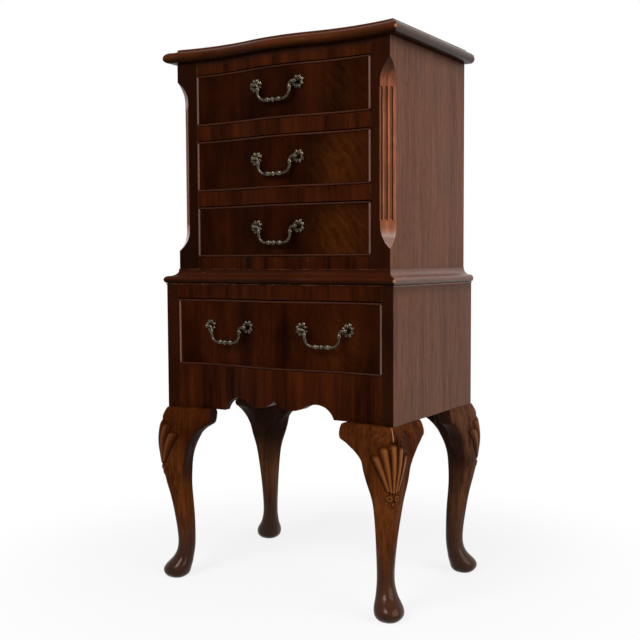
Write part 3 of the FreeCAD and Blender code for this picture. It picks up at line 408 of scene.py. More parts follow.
# Making and carving of the leg, with pairs as above: sanding flush (FLUSH) and at the tips of the ears (TIP), the faces
# that are divided for the carving (CARVED), the sunk ground, and the marks that the finish reads
VOXEL = 0.0017
FLUSH_FOOT, FLUSH_HEAD = (0.12, 0.19), (0.316, 0.302)
TIP_SIDE, TIP_FOOT, TIP_HEAD = (0.026, 0.04), (0.25, 0.275), (0.321, 0.312)
CARVED_FOOT, CARVED_HEAD, CARVED_HALF, CARVED_LEAST = 0.192, 0.322, 0.046, 0.05
SHELL_DEPTH = 0.0066
SHALLOW_SHARE, DEEP_FOOT = 0.2, (0.2, 0.245)
GROUND_REACH, GROUND_HEAD, GROUND_FACING = 0.02, (0.311, 0.294), (0.05, 0.4)
HOLLOW_CREST, HOLLOW_REACH = (0.2, 0.0), (0.003, 0.0)
RUBBED_CREST = (0.25, 0.85)
ARRIS_SIDE, ARRIS_FOOT = (0.0012, 0.0003), (0.3035, 0.3075)
INSIDE_FACING, INSIDE_FOOT = (0.15, 0.6), (0.15, 0.24)


def carved_leg():
    """The front right leg: the CAD leg and its two brackets made one surface, then the knee carved."""
    leg = blank_from("leg_front_right", "leg_front_right_carved")
    brackets = blank_from("knee_brackets", "brackets")
    bpy.ops.object.mode_set(mode="EDIT")
    bpy.ops.mesh.select_all(action="DESELECT")
    bpy.ops.object.mode_set(mode="OBJECT")
    for vertex in brackets.data.vertices:
        vertex.select = vertex.co.x < 0.0 or vertex.co.y > 0.0
    bpy.ops.object.mode_set(mode="EDIT")
    bpy.ops.mesh.delete(type="VERT")
    bpy.ops.object.mode_set(mode="OBJECT")
    only(leg)
    brackets.select_set(True)
    bpy.ops.object.join()
    apply_modifier(leg, "REMESH", mode="VOXEL", voxel_size=VOXEL)
    sanded(leg, passes=6)
    height = np.array([vertex.co.z for vertex in leg.data.vertices])
    flush = weighted(leg, "knee_flush", ramp(height, *FLUSH_FOOT) * ramp(height, *FLUSH_HEAD))
    sanded(leg, passes=20, group=flush)
    fuller_knee(leg)
    sanded(leg, passes=15, group=flush)
    points, sideways, _, _ = knee_rows(leg)
    tips = ramp(np.abs(sideways), *TIP_SIDE) * ramp(points[:, 2], *TIP_FOOT) * ramp(points[:, 2], *TIP_HEAD)
    sanded(leg, passes=50, group=weighted(leg, "ears", tips))
    for face in leg.data.polygons:
        middle = face.center - CORNER
        face.select = (CARVED_FOOT < middle.z < CARVED_HEAD and abs(middle.dot(SIDEWAYS)) < CARVED_HALF
                       and face.normal.dot(OUTWARD) > CARVED_LEAST)
    bpy.ops.object.mode_set(mode="EDIT")
    bpy.ops.mesh.select_mode(type="FACE")
    bpy.ops.mesh.subdivide(number_cuts=2)
    bpy.ops.object.mode_set(mode="OBJECT")
    points, sideways, _, facing = knee_rows(leg)
    beside, height = np.abs(sideways), points[:, 2]
    relief, crest, away = shell_relief(beside, height)
    shown = ramp(facing, *GROUND_FACING)
    ground = ramp(away, GROUND_REACH, 0.0) * ramp(height, *GROUND_HEAD) * shown
    deep = SHALLOW_SHARE + (1.0 - SHALLOW_SHARE) * ramp(height, *DEEP_FOOT)
    sunk = weighted(leg, "sunk_ground", (1.0 - relief) * ground * deep)
    for axis, depth in (("X", -SHELL_DEPTH), ("Y", SHELL_DEPTH)):
        apply_modifier(leg, "DISPLACE", direction=axis, mid_level=0.0, strength=depth / math.sqrt(2.0),
                       vertex_group=sunk)
    sanded(leg, passes=1, group=weighted(leg, "carving", ground))
    # Marks for the finish: painted shade in the hollows, wear and a painted highlight along the crests, the worn arris,
    # and the inner faces, which get a darker finish and painted shade.
    marks = {"hollow_shade": ramp(crest, *HOLLOW_CREST) * ramp(away, *HOLLOW_REACH) * shown,
             "rubbed": ramp(crest, *RUBBED_CREST) * shown,
             "arris": ramp(beside, *ARRIS_SIDE) * ramp(height, *ARRIS_FOOT) * shown,
             "inside": ramp(-facing, *INSIDE_FACING) * ramp(height, *INSIDE_FOOT)}
    for name, values in marks.items():
        leg.data.attributes.new(name, "FLOAT", "POINT").data.foreach_set("value", values)
    only(leg)
    bpy.ops.object.shade_smooth()
    return leg


# The hollows' colour is painted shade, the inner faces' is partly a darker finish and partly painted shade, and the
# crests' is wear with a painted highlight.
FOOT_DARK, KNEE_DARK = (0.15, 0.03), (0.19, 0.29)
FOOT_STAIN, KNEE_STAIN = (0.016, 0.0042, 0.002, 1.0), (0.02, 0.003, 0.0005, 1.0)
INSIDE_STAIN_AND_SHADE, HOLLOW_SHADE = (0.014, 0.007, 0.005, 1.0), (0.008, 0.0018, 0.0005, 1.0)
CREST_WEAR_AND_HIGHLIGHT, ARRIS_WOOD = (0.27, 0.088, 0.02, 1.0), (0.5, 0.26, 0.14, 1.0)
KNEE_SHINE, FOOT_SHINE, CREST_SHINE = 0.008, 0.2, 0.09
KNEE_ROUGH, FOOT_ROUGH = 1.4, 0.55


def leg_finish(name, dark, light, knee, crest):
    """Mahogany rubbed to a warm brown on the knee, with painted shade in the carving's hollows, a darker finish and
    painted shade on the sawn inner faces, painted shade on faces that look down and light on those that look up, and
    darkest and glossiest at the foot. knee is the strength of the knee's darkening, crest that of the crests' wear and
    painted highlight."""
    finish = polished(name, dark, light, grain=(1.5, 1.6, 1.8, 0.5), worn=(0.24, 0.085, 0.03), gloss=(0.22, 0.36),
                      tint=(1.0, 0.74, 0.6), reach=0.0012, bump=0.04, painted_shading=(0.5, 1.5))
    tree = finish.node_tree
    shader = tree.nodes["Principled BSDF"]
    colour = shader.inputs["Base Color"].links[0].from_socket
    height = own_height(tree)
    low, high = graded(tree, height, *FOOT_DARK, soft=True), graded(tree, height, *KNEE_DARK, soft=True)
    hollow_shade, inside, rubbed, arris = (add(tree, "ShaderNodeAttribute", attribute_name=mark).outputs["Fac"]
                                     for mark in ("hollow_shade", "inside", "rubbed", "arris"))
    for where, share, stain in ((low, 0.8, FOOT_STAIN), (high, knee, KNEE_STAIN), (inside, 0.75, INSIDE_STAIN_AND_SHADE),
                                (hollow_shade, 0.7, HOLLOW_SHADE), (rubbed, crest, CREST_WEAR_AND_HIGHLIGHT), (arris, 0.6, ARRIS_WOOD)):
        colour = mix_colour(tree, math_node(tree, "MULTIPLY", where, share), colour, stain)
    tree.links.new(colour, shader.inputs["Base Color"])
    shine = math_node(tree, "ADD", graded(tree, low, 0.0, 1.0, KNEE_SHINE, FOOT_SHINE),
                      math_node(tree, "MULTIPLY", rubbed, CREST_SHINE))
    tree.links.new(math_node(tree, "MULTIPLY", shine, math_node(tree, "SUBTRACT", 1.0, hollow_shade)),
                   shader.inputs["Specular IOR Level"])
    rough = shader.inputs["Roughness"].links[0].from_socket
    tree.links.new(math_node(tree, "MULTIPLY", rough, graded(tree, low, 0.0, 1.0, KNEE_ROUGH, FOOT_ROUGH)),
                   shader.inputs["Roughness"])
    return finish


FRONT_LEG_COLOURS = (0.016, 0.003, 0.0006), (0.142, 0.039, 0.008)
BACK_LEG_COLOURS = (0.026, 0.0085, 0.0042), (0.15, 0.06, 0.027)
RIGHT_LEG_FINISH = leg_finish("right_leg_mahogany", *FRONT_LEG_COLOURS, knee=0.34, crest=0.55)
# The left leg's knee is painted darker and its crests less bright, as painted shade.
LEFT_LEG_FINISH = leg_finish("left_leg_mahogany", *FRONT_LEG_COLOURS, knee=0.74, crest=0.2)
BACK_LEG_FINISH = leg_finish("back_leg_mahogany", *BACK_LEG_COLOURS, knee=0.32, crest=0.3)
front_right_leg = dress(carved_leg(), RIGHT_LEG_FINISH)
LEG_MIRRORS = (("leg_front_left", (-1, 1), LEFT_LEG_FINISH), ("leg_back_right", (1, -1), BACK_LEG_FINISH),
               ("leg_back_left", (-1, -1), BACK_LEG_FINISH))
legs = {"leg_front_right": front_right_leg}
for node_name, (flip_x, flip_y), finish in LEG_MIRRORS:
    copy = bpy.data.objects.new(node_name + "_carved", front_right_leg.data.copy())
    bpy.context.scene.collection.objects.link(copy)
    copy.data.transform(Matrix.Diagonal((flip_x, flip_y, 1, 1)))
    if flip_x * flip_y < 0:
        copy.data.flip_normals()
    legs[node_name] = dress(copy, finish)
for node_name, piece in legs.items():
    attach(piece, "case")
    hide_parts(node_name, "knee_brackets")


# Lower case: side boards, corner stiles, the rail over the drawer, the shaped apron and the thin back.
# Boards of straight-grained mahogany, mitred at the front corners; rail and apron are faced with cross-grained
# veneer, bent round the serpentine line and glued to a softwood core.
# Colour of the shade painted by the mouldings and at the ends of the cants.
PAINTED_SHADE = (0.012, 0.005, 0.003, 1.0)


def painted_shade_by_height(finish, unshaded, shaded, share):
    """Paints shade into a finish by height, from an unshaded height to a shaded one."""
    tree = finish.node_tree
    shader = tree.nodes["Principled BSDF"]
    colour = shader.inputs["Base Color"].links[0].from_socket
    shade_share = graded(tree, own_height(tree), unshaded, shaded, high=share, soft=True)
    tree.links.new(mix_colour(tree, shade_share, colour, PAINTED_SHADE), shader.inputs["Base Color"])


# The side boards are lighter and greyer than the front, partly their own colour and partly a painted sheen.
PANEL_LOOK = {"grain": (1.0, 1.7, 0.6, 0.8), "worn": (0.3, 0.15, 0.095), "wear": 0.5, "scratched": 0.25,
              "gloss": (0.38, 0.5), "specular": 0.05, "tint": (1.0, 0.76, 0.64)}
RAIL_LOOK = {"grain": (1.9, 0.8, 0.9, 0.3), "worn": (0.17, 0.06, 0.024), "wear": 0.5, "gloss": (0.3, 0.46),
             "specular": 0.02}
STILE_LOOK = {"grain": (0.9, 0.8, 0.9, 0.3), "worn": (0.17, 0.065, 0.03), "wear": 0.5, "gloss": (0.3, 0.46),
              "specular": 0.02}
LOWER_PANEL = polished("lower_panel_mahogany", (0.06, 0.023, 0.0125), (0.15, 0.066, 0.04), **PANEL_LOOK)
# Painted shadow under the waist moulding.
painted_shade_by_height(LOWER_PANEL, unshaded=0.535, shaded=0.56, share=0.4)
RAIL_FINISH = polished("rail_mahogany", (0.005, 0.0008, 0.0002), (0.053, 0.0103, 0.0021), **RAIL_LOOK)
STILE_FINISH = polished("stile_mahogany", (0.01, 0.0019, 0.0006), (0.03, 0.0068, 0.0022), **STILE_LOOK)
BACK_FINISH = polished("back_board", (0.12, 0.07, 0.035), (0.24, 0.15, 0.08), grain=(0.6, 0.8, 0.5, 0.3),
                       worn=(0.3, 0.2, 0.11), wear=0.3, gloss=(0.6, 0.75), specular=0.1, tint=(1.0, 0.9, 0.8))


def finished(node_name, finish, smooth=35.0):
    """A piece with a CAD node's own shape, its curved faces shaded smoothly, in a new finish."""
    piece = only(dress(blank_from(node_name, node_name + "_finished"), finish))
    bpy.ops.object.shade_smooth_by_angle(angle=math.radians(smooth))
    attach(piece, frame["nodes"][node_name]["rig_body"])
    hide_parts(node_name)
    return piece


for node_name in ("lower_side_left", "lower_side_right"):
    dress(frame["nodes"][node_name], LOWER_PANEL)
for node_name in ("lower_stile_left", "lower_stile_right"):
    finished(node_name, STILE_FINISH)
for node_name in ("lower_top_rail", "apron"):
    finished(node_name, RAIL_FINISH)
dress(frame["nodes"]["lower_back"], BACK_FINISH)


# Waist moulding: three strips of solid mahogany, a fillet, a half-round nose and a cove.
# They are mitred at the front corners and glued and pinned round the foot of the upper case.
# The mouldings and the top get painted shade on faces that look down and painted light on those that look up.
MOULDING_LOOK = {"grain": (0.7, 0.7, 0.8, 0.4), "worn": (0.26, 0.1, 0.05), "wear": 0.95, "gloss": (0.22, 0.36),
                 "reach": 0.002, "painted_shading": (0.3, 1.4)}
MITRE_CHIP = ((0.244, -0.164, 0.567), 0.004)
NOSE_CHIP = ((0.19, -0.156, 0.568), 0.003)
FRONT_MOULDING = polished("front_moulding_mahogany", (0.01, 0.0019, 0.0005), (0.045, 0.0095, 0.0024), turn=ACROSS,
                          specular=0.025, tint=(1.0, 0.66, 0.5), chips=(MITRE_CHIP, NOSE_CHIP), **MOULDING_LOOK)
# The side strips are lighter and greyer than the front one, partly their own colour and partly a painted sheen.
SIDE_MOULDING = polished("side_moulding_mahogany", (0.085, 0.04, 0.03), (0.195, 0.096, 0.072), turn=FRONT_TO_BACK,
                         specular=0.11, tint=(1.0, 0.84, 0.8), chips=(MITRE_CHIP,), **MOULDING_LOOK)
finished("waist_moulding_front", FRONT_MOULDING)
for node_name in ("waist_moulding_left", "waist_moulding_right"):
    finished(node_name, SIDE_MOULDING)


# Upper case: side boards, serpentine rails between canted corner posts, the thin back, and the boards inside.
# The posts are solid, with a scooped cant and three flutes cut by a scratch stock; rails are cross-grained.
# Shade is painted into the wood under the top board and at both ends of the cants, and the cants are glossier and waxed
# at their feet.
# Lighter and greyer than the front, partly its own colour and partly a painted sheen.
UPPER_PANEL = polished("upper_panel_mahogany", (0.07, 0.0265, 0.0145), (0.168, 0.072, 0.043), **PANEL_LOOK)
# Painted shadow under the top board.
painted_shade_by_height(UPPER_PANEL, unshaded=0.942, shaded=0.972, share=0.55)
TOP_RAIL_FINISH = polished("top_rail_mahogany", (0.005, 0.0008, 0.0002), (0.056, 0.011, 0.0022), **RAIL_LOOK)
# Painted shadow under the top board.
painted_shade_by_height(TOP_RAIL_FINISH, unshaded=0.955, shaded=0.97, share=0.85)
LEFT_POST_FINISH = polished("left_post_mahogany", (0.005, 0.001, 0.0003), (0.016, 0.0036, 0.0012), **STILE_LOOK)


def waxed(finish, dull, glossy, level):
    """Gives a finish more shine and a coat of wax, from a dull height to a glossy one."""
    tree = finish.node_tree
    shader = tree.nodes["Principled BSDF"]
    height = own_height(tree)
    plain = shader.inputs["Specular IOR Level"].default_value
    tree.links.new(graded(tree, height, dull, glossy, plain, level, soft=True), shader.inputs["Specular IOR Level"])
    tree.links.new(graded(tree, height, dull, glossy, soft=True), shader.inputs["Coat Weight"])
    shader.inputs["Coat Roughness"].default_value = 0.15


# The cant gets painted shade on faces that look down and painted light on those that look up.
CANT_FINISH = polished("cant_mahogany", (0.085, 0.021, 0.007), (0.41, 0.13, 0.055), grain=(1.2, 2.0, 1.6, 0.5),
                       worn=(0.52, 0.24, 0.13), wear=0.8, gloss=(0.24, 0.4), specular=0.12, tint=(1.0, 0.82, 0.74),
                       painted_shading=(0.25, 1.35))
# Painted shade at the top and at the foot of each cant.
painted_shade_by_height(CANT_FINISH, unshaded=0.892, shaded=0.928, share=0.7)
painted_shade_by_height(CANT_FINISH, unshaded=0.664, shaded=0.636, share=0.55)
waxed(CANT_FINISH, dull=0.662, glossy=0.632, level=1.0)
# The flutes' walls are painted darker than the flat of the cant, as shade in the grooves.
FLUTE_SHADE_FINISH = polished("flute_painted_shade", (0.03, 0.007, 0.0025), (0.125, 0.037, 0.015), grain=(0.8, 1.2, 0.9, 0.5),
                        worn=(0.3, 0.13, 0.08), wear=0.8, gloss=(0.26, 0.4), tint=(1.0, 0.8, 0.7))
LINING_FINISH = polished("lining_wood", (0.2, 0.125, 0.06), (0.38, 0.26, 0.14), turn=FRONT_TO_BACK,
                         grain=(0.6, 0.7, 0.5, 0.3), worn=(0.45, 0.33, 0.2), wear=0.3, gloss=(0.55, 0.7),
                         specular=0.1, tint=(1.0, 0.92, 0.85))
# Faces of a post by their normals: least sideways of a cant and most backward, least sideways of the outer face, and
# what tells a flute's wall from the flat of the cant
CANT_LEAST, CANT_BACKWARD, OUTER_LEAST = 0.3, 0.3, 0.97
FLUTE_TURN, FLUTE_TILT = 0.985, 0.05
FACE, CANT, OUTER, FLUTE = range(4)
for node_name in ("upper_side_left", "upper_side_right"):
    dress(frame["nodes"][node_name], UPPER_PANEL)
for node_name, face_finish in (("corner_post_left", LEFT_POST_FINISH), ("corner_post_right", STILE_FINISH)):
    post = finished(node_name, face_finish)
    for finish in (CANT_FINISH, UPPER_PANEL, FLUTE_SHADE_FINISH):
        post.data.materials.append(finish)
    canted = [face for face in post.data.polygons
              if CANT_LEAST < abs(face.normal.x) < OUTER_LEAST and face.normal.y < CANT_BACKWARD]
    flat = max(canted, key=lambda face: face.area).normal.copy()
    for face in post.data.polygons:
        face.material_index = OUTER if abs(face.normal.x) > OUTER_LEAST else FACE
    for face in canted:
        in_flute = face.normal.dot(flat) < FLUTE_TURN and abs(face.normal.z) < FLUTE_TILT
        face.material_index = FLUTE if in_flute else CANT
finished("upper_top_rail", TOP_RAIL_FINISH)
for node_name in ("upper_divider_rails", "upper_bottom_rail"):
    finished(node_name, RAIL_FINISH)
dress(frame["nodes"]["upper_back"], BACK_FINISH)
for node_name in ("waist_board", "drawer_runners"):
    dress(frame["nodes"][node_name], LINING_FINISH)


# Top board: one wide mahogany board, serpentine at the front.
# A step and an ovolo are worked along the front and both ends, and the arrises are rubbed and a little chipped.
TOP_CHIP = ((0.2445, -0.159, 0.978), 0.0055)
TOP_FINISH = polished("top_mahogany", (0.014, 0.0027, 0.0006), (0.092, 0.022, 0.0045), turn=ACROSS, specular=0.03,
                      tint=(1.0, 0.62, 0.42), chips=(TOP_CHIP,), **MOULDING_LOOK)
# The ends are lighter and greyer than the front edge, partly their own colour and partly a painted sheen.
TOP_END_FINISH = polished("top_end_mahogany", (0.026, 0.0115, 0.0075), (0.09, 0.044, 0.029), turn=FRONT_TO_BACK,
                          specular=0.14, tint=(1.0, 0.84, 0.78), chips=(TOP_CHIP,), **MOULDING_LOOK)
EDGE_LEAST = 0.1
END_LEAST = 0.6
top = finished("top_board", TOP_FINISH)
top.data.materials.append(TOP_END_FINISH)
for face in top.data.polygons:
    level = math.hypot(face.normal.x, face.normal.y)
    face.material_index = 1 if level > EDGE_LEAST and abs(face.normal.x) > END_LEAST * level else 0


# Drawers: serpentine fronts with figured veneer, a thin cockbead round each, and plain boxes behind.
# The veneer is dark and cloudy, with a golden feather at the right of the middle fronts; the cockbead is glued into a
# rebate round the front and its uprights are painted lighter as a highlight; the linings are left unpolished.
BEAD_LOOK = {"grain": (0.6, 0.6, 0.6, 0.3), "gloss": (0.2, 0.34), "reach": 0.0008}
BEAD_FINISH = polished("bead_mahogany", (0.016, 0.0035, 0.001), (0.062, 0.016, 0.006), turn=ACROSS,
                       worn=(0.2, 0.075, 0.038), specular=0.08, tint=(1.0, 0.72, 0.6), **BEAD_LOOK)
# The uprights of the bead are painted lighter than the rest of it, as a highlight.
UPRIGHT_BEAD_HIGHLIGHT = polished("upright_bead_mahogany", (0.07, 0.03, 0.02), (0.19, 0.09, 0.066), worn=(0.5, 0.32, 0.26),
                        wear=0.9, specular=0.25, tint=(1.0, 0.8, 0.72), **BEAD_LOOK)
BEAD_WIDTH = 0.0036


def feather_figure():
    """Figure of the veneer: broad upright clouds, and a wavering feather that leans to the right."""
    tree, given, put = new_group("feather_figure", [("Vector", "NodeSocketVector", None)],
                                 [("Cloud", "NodeSocketFloat"), ("Feather", "NodeSocketFloat")])
    waver = noise(tree, given.outputs["Vector"], scale=22.0, detail=2.0).outputs["Color"]
    sway = add(tree, "ShaderNodeVectorMath", {0: waver, "Scale": 0.03}, operation="SCALE").outputs[0]
    swayed = add(tree, "ShaderNodeVectorMath", {0: given.outputs["Vector"], 1: sway}, operation="ADD").outputs[0]
    lean = (0.0, math.radians(38.0), 0.0)
    leaning = add(tree, "ShaderNodeMapping", {"Vector": swayed, "Rotation": lean}).outputs[0]
    feather = noise(tree, stretched(tree, leaning, along=0.12), scale=130.0, detail=4.0, rough=0.6).outputs[0]
    cloud = noise(tree, stretched(tree, swayed, along=0.35), scale=17.0).outputs[0]
    tree.links.new(cloud, put.inputs["Cloud"])
    tree.links.new(feather, put.inputs["Feather"])
    return tree


FEATHER = feather_figure()
FEATHER_GOLD = (0.085, 0.022, 0.0035, 1.0)
FEATHER_SIDE, FEATHER_FRONT, FEATHER_DROP = 0.128, -0.13, 0.008
FEATHER_REACH = (0.09, 0.01)
VENEER_DARK = (0.006, 0.001, 0.0002)
VENEER_LIGHT = (0.025, 0.0048, 0.001)


def veneer(name, level, offset, glow, tone):
    """A figured front: level is the drawer's mid height, offset picks its own part of the figure, glow is the
    strength of its golden feather, and tone its lightness."""
    finish = polished(name, VENEER_DARK, [part * tone for part in VENEER_LIGHT], offset=(offset, 0.0, -level),
                      grain=(0.9, 0.7, 0.8, 0.25), worn=(0.11, 0.04, 0.018), wear=0.4, scratched=0.6,
                      gloss=(0.3, 0.44), specular=0.012)
    tree = finish.node_tree
    shader = tree.nodes["Principled BSDF"]
    plain = shader.inputs["Base Color"].links[0].from_socket
    where = own_place(tree)
    place = add(tree, "ShaderNodeMapping", {"Vector": where, "Location": (0.0, offset, -level)}).outputs[0]
    figure = add(tree, "ShaderNodeGroup", {"Vector": place}, node_tree=FEATHER)
    clouded = toned(tree, plain, graded(tree, figure.outputs["Cloud"], 0.32, 0.66, low=0.35, high=1.6))
    feather = graded(tree, figure.outputs["Feather"], 0.34, 0.66, low=0.25)
    middle = (FEATHER_SIDE, FEATHER_FRONT, level - FEATHER_DROP)
    away = add(tree, "ShaderNodeVectorMath", {0: where, 1: middle}, operation="DISTANCE").outputs["Value"]
    near = graded(tree, away, *FEATHER_REACH, high=glow, soft=True)
    share = math_node(tree, "MULTIPLY", near, feather, clamp=True)
    tree.links.new(mix_colour(tree, share, clouded, FEATHER_GOLD), shader.inputs["Base Color"])
    return finish


# Each front's mid height, its offset in the figure, the strength of its feather and its lightness
DRAWERS = {"upper_drawer_1": (0.898, 0.31, 0.2, 0.95), "upper_drawer_2": (0.777, 0.57, 0.55, 1.05),
           "upper_drawer_3": (0.656, 1.13, 0.6, 0.9), "lower_drawer": (0.4705, 1.71, 0.3, 1.45)}
for drawer, figure in DRAWERS.items():
    finished(drawer + "_front", veneer(drawer + "_veneer", *figure))
    bead = finished(drawer + "_cockbead", BEAD_FINISH)
    bead.data.materials.append(UPRIGHT_BEAD_HIGHLIGHT)
    heights = [vertex.co.z for vertex in bead.data.vertices]
    # The uprights get the bead's painted highlight.
    for face in bead.data.polygons:
        face.material_index = 1 if min(heights) + BEAD_WIDTH < face.center.z < max(heights) - BEAD_WIDTH else 0
    for part in ("side_left", "side_right", "back", "bottom"):
        dress(frame["nodes"][f"{drawer}_{part}"], LINING_FINISH)


# Handles: cast swan-neck bails that swing in pairs of bolted posts with flower-shaped rosettes of eight petals.
# Dark antique brass, brighter on the rubbed high places and nearly black in the hollows.
DARK_BRASS = (0.016, 0.0115, 0.0075, 1.0)
RUBBED_BRASS = (0.26, 0.21, 0.145, 1.0)


def antique_brass():
    """Cast brass, stained dark and rubbed bright where it stands proud."""
    finish = bpy.data.materials.new("antique_brass")
    finish.use_nodes = True
    tree = finish.node_tree
    shader = tree.nodes["Principled BSDF"]
    proud = tree.nodes.new("ShaderNodeNewGeometry").outputs["Pointiness"]
    stain = noise(tree, own_place(tree), scale=320.0).outputs[0]
    bright = math_node(tree, "MULTIPLY", graded(tree, proud, 0.48, 0.6), graded(tree, stain, 0.36, 0.62, low=0.1))
    tree.links.new(mix_colour(tree, bright, DARK_BRASS, RUBBED_BRASS), shader.inputs["Base Color"])
    tree.links.new(graded(tree, stain, 0.3, 0.7, low=0.16, high=0.32), shader.inputs["Roughness"])
    relief = add(tree, "ShaderNodeBump", {"Height": stain, "Strength": 0.25, "Distance": 0.0004})
    tree.links.new(relief.outputs[0], shader.inputs["Normal"])
    shader.inputs["Metallic"].default_value = 1.0
    return finish


BRASS = antique_brass()
CAST_SMOOTH = 50.0
POST_SPACING = 0.089
POST_REACH = 0.0115
PETALS = 8
PETAL_RING = 0.0082
PETAL_LIFT = 0.0026
PETAL_HALF_SIZES = (0.0038, 0.0029, 0.0019)
# Cast swellings, drawn with Y up and Z out of the front: place, turn about Z and half sizes
PETAL_ROWS = [((PETAL_RING * math.cos(angle), PETAL_RING * math.sin(angle), PETAL_LIFT), angle, PETAL_HALF_SIZES)
              for angle in ((count + 0.5) * 2.0 * math.pi / PETALS for count in range(PETALS))]
BAIL_ROWS = [((0.0, -0.0285, 0.0), 0.0, (0.004, 0.0057, 0.0057))]
for side in (-1.0, 1.0):
    BAIL_ROWS += [((side * 0.0118, -0.0283, 0.0), 0.0, (0.0066, 0.005, 0.005)),
                  ((side * 0.0333, -0.0095, 0.0), math.pi / 2, (0.0062, 0.0041, 0.0041))]


def swellings(rows):
    """Flattened balls joined to one blank."""
    balls = []
    for place, turn, half_sizes in rows:
        bpy.ops.object.select_all(action="DESELECT")
        bpy.ops.mesh.primitive_uv_sphere_add(segments=20, ring_count=12, radius=1.0, location=place,
                                             rotation=(0.0, 0.0, turn), scale=half_sizes)
        balls.append(bpy.context.object)
    for ball in balls:
        ball.select_set(True)
    bpy.ops.object.transform_apply(location=True, rotation=True, scale=True)
    bpy.ops.object.join()
    return bpy.context.object


def cast_on(piece, blank, seat):
    """Joins a copy of a blank to a piece, moved to its seat."""
    copy = bpy.data.objects.new("cast", blank.data.copy())
    bpy.context.scene.collection.objects.link(copy)
    copy.data.transform(seat)
    dress(copy, BRASS)
    only(piece)
    copy.select_set(True)
    bpy.ops.object.join()
    bpy.ops.object.shade_smooth_by_angle(angle=math.radians(CAST_SMOOTH))


petals, knuckles = swellings(PETAL_ROWS), swellings(BAIL_ROWS)
posts = {drawer: finished(drawer + "_handle_posts", BRASS, CAST_SMOOTH) for drawer in DRAWERS}
for joint in frame["record"]["behaviour"]["joints"]:
    if joint["type"] == "hinge":
        pin = Vector(joint["axis"])
        up = Vector((0.0, 0.0, 1.0))
        seat = Matrix((-pin, up, up.cross(pin))).transposed().to_4x4()
        seat.translation = Vector(joint["pos_m"])
        cast_on(finished(joint["child"], BRASS, CAST_SMOOTH), knuckles, seat)
        for end in (-0.5, 0.5):
            cast_on(posts[joint["parent"]], petals, seat @ Matrix.Translation((end * POST_SPACING, 0.0, -POST_REACH)))
for blank in (petals, knuckles):
    bpy.data.objects.remove(blank)


# Studio: a pale floor, a white surround, one broad soft light from the right and one from the front.
# Floor and surround are white where they are seen; only the lamps and a weak share of the surround light the chest.
FLOOR_SIZE = 14.0
SHADOW_REACH = (0.3, 0.85)
SHADOW_WHITE = 0.82
SURROUND_SHARE = 0.18
WHITE = (1.0, 1.0, 1.0, 1.0)


def seen_directly(tree):
    """1 for a ray from the camera, a mirror or glass, and 0 for one that only carries light."""
    rays = tree.nodes.new("ShaderNodeLightPath").outputs
    seen = math_node(tree, "MAXIMUM", rays["Is Camera Ray"], rays["Is Glossy Ray"])
    return math_node(tree, "MAXIMUM", seen, rays["Is Transmission Ray"])


bpy.ops.object.select_all(action="DESELECT")
bpy.ops.mesh.primitive_plane_add(size=FLOOR_SIZE, location=(0.0, 0.0, 0.0))
floor = bpy.context.object
floor.name = "studio_floor"
floor_finish = bpy.data.materials.new("studio_floor_white")
floor_finish.use_nodes = True
floor_tree = floor_finish.node_tree
paint = floor_tree.nodes["Principled BSDF"]
paint.inputs["Base Color"].default_value = (0.95, 0.95, 0.95, 1.0)
paint.inputs["Roughness"].default_value = 0.9
paint.inputs["Specular IOR Level"].default_value = 0.1
glow = add(floor_tree, "ShaderNodeEmission", {"Color": WHITE, "Strength": 1.0})
from_middle = add(floor_tree, "ShaderNodeVectorMath", {0: own_place(floor_tree)}, operation="LENGTH").outputs["Value"]
unshaded = graded(floor_tree, from_middle, *SHADOW_REACH, low=SHADOW_WHITE, soft=True)
blend = add(floor_tree, "ShaderNodeMixShader", {0: math_node(floor_tree, "MULTIPLY", seen_directly(floor_tree), unshaded),
                                                1: paint.outputs[0], 2: glow.outputs[0]})
floor_tree.links.new(blend.outputs[0], floor_tree.nodes["Material Output"].inputs["Surface"])
floor.data.materials.append(floor_finish)

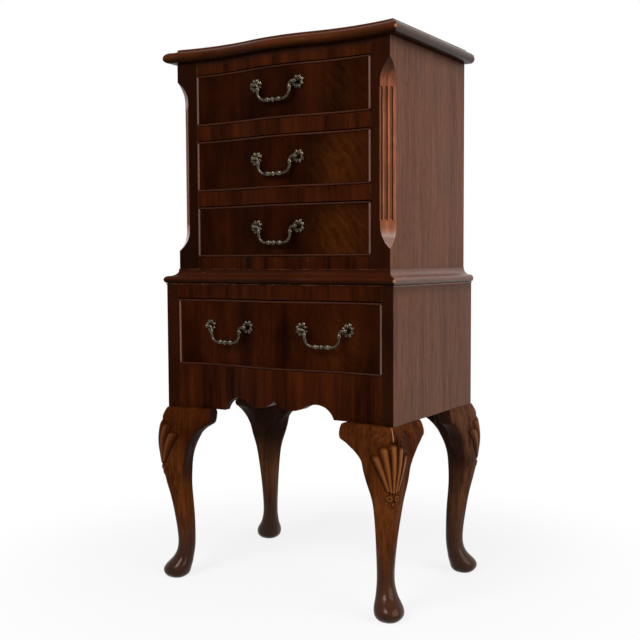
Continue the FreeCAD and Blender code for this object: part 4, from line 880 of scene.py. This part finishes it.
world = bpy.data.worlds.new("studio_surround")
bpy.context.scene.world = world
world.use_nodes = True
sky = world.node_tree
surround = sky.nodes["Background"]
surround.inputs["Color"].default_value = WHITE
sky.links.new(graded(sky, seen_directly(sky), 0.0, 1.0, low=SURROUND_SHARE), surround.inputs["Strength"])


def soft_light(name, place, target, size, power):
    """A square lamp that looks at a target."""
    lamp = bpy.data.objects.new(name, bpy.data.lights.new(name, "AREA"))
    bpy.context.scene.collection.objects.link(lamp)
    lamp.data.size = size
    lamp.data.energy = power
    lamp.location = place
    lamp.rotation_euler = (Vector(target) - Vector(place)).to_track_quat("-Z", "Y").to_euler()


soft_light("side_light", place=(2.6, -0.4, 1.4), target=(0.0, 0.0, 0.5), size=2.4, power=58.0)
soft_light("front_light", place=(-0.2, -2.6, 2.5), target=(0.0, 0.0, 0.5), size=1.4, power=64.0)


# Camera: it stands to the right of the front, a little higher than the waist, as in the photograph.
# Its place, its angles and its focal length were solved together from points on the chest.
CAMERA_PLACE = (0.9840, -1.5875, 0.6031)
CAMERA_TURN, CAMERA_TILT, CAMERA_ROLL = 31.80, -3.50, 0.26
FOCAL_PIXELS = 984.7
PICTURE_PIXELS = 640.0
SENSOR_WIDTH = 36.0
turn, tilt, roll = (math.radians(angle) for angle in (CAMERA_TURN, CAMERA_TILT, CAMERA_ROLL))
ahead = Vector((-math.sin(turn) * math.cos(tilt), math.cos(turn) * math.cos(tilt), math.sin(tilt)))
right = Vector((math.cos(turn), math.sin(turn), 0.0))
down = ahead.cross(right)
image_right = right * math.cos(roll) + down * math.sin(roll)
image_down = down * math.cos(roll) - right * math.sin(roll)
camera = bpy.data.objects.new("camera", bpy.data.cameras.new("camera"))
bpy.context.scene.collection.objects.link(camera)
camera.data.sensor_width = SENSOR_WIDTH
camera.data.lens = FOCAL_PIXELS / PICTURE_PIXELS * SENSOR_WIDTH
view = Matrix((image_right, -image_down, -ahead)).transposed().to_4x4()
view.translation = Vector(CAMERA_PLACE)
camera.matrix_world = view
bpy.context.scene.camera = camera
bpy.context.scene.view_settings.view_transform = "Standard"
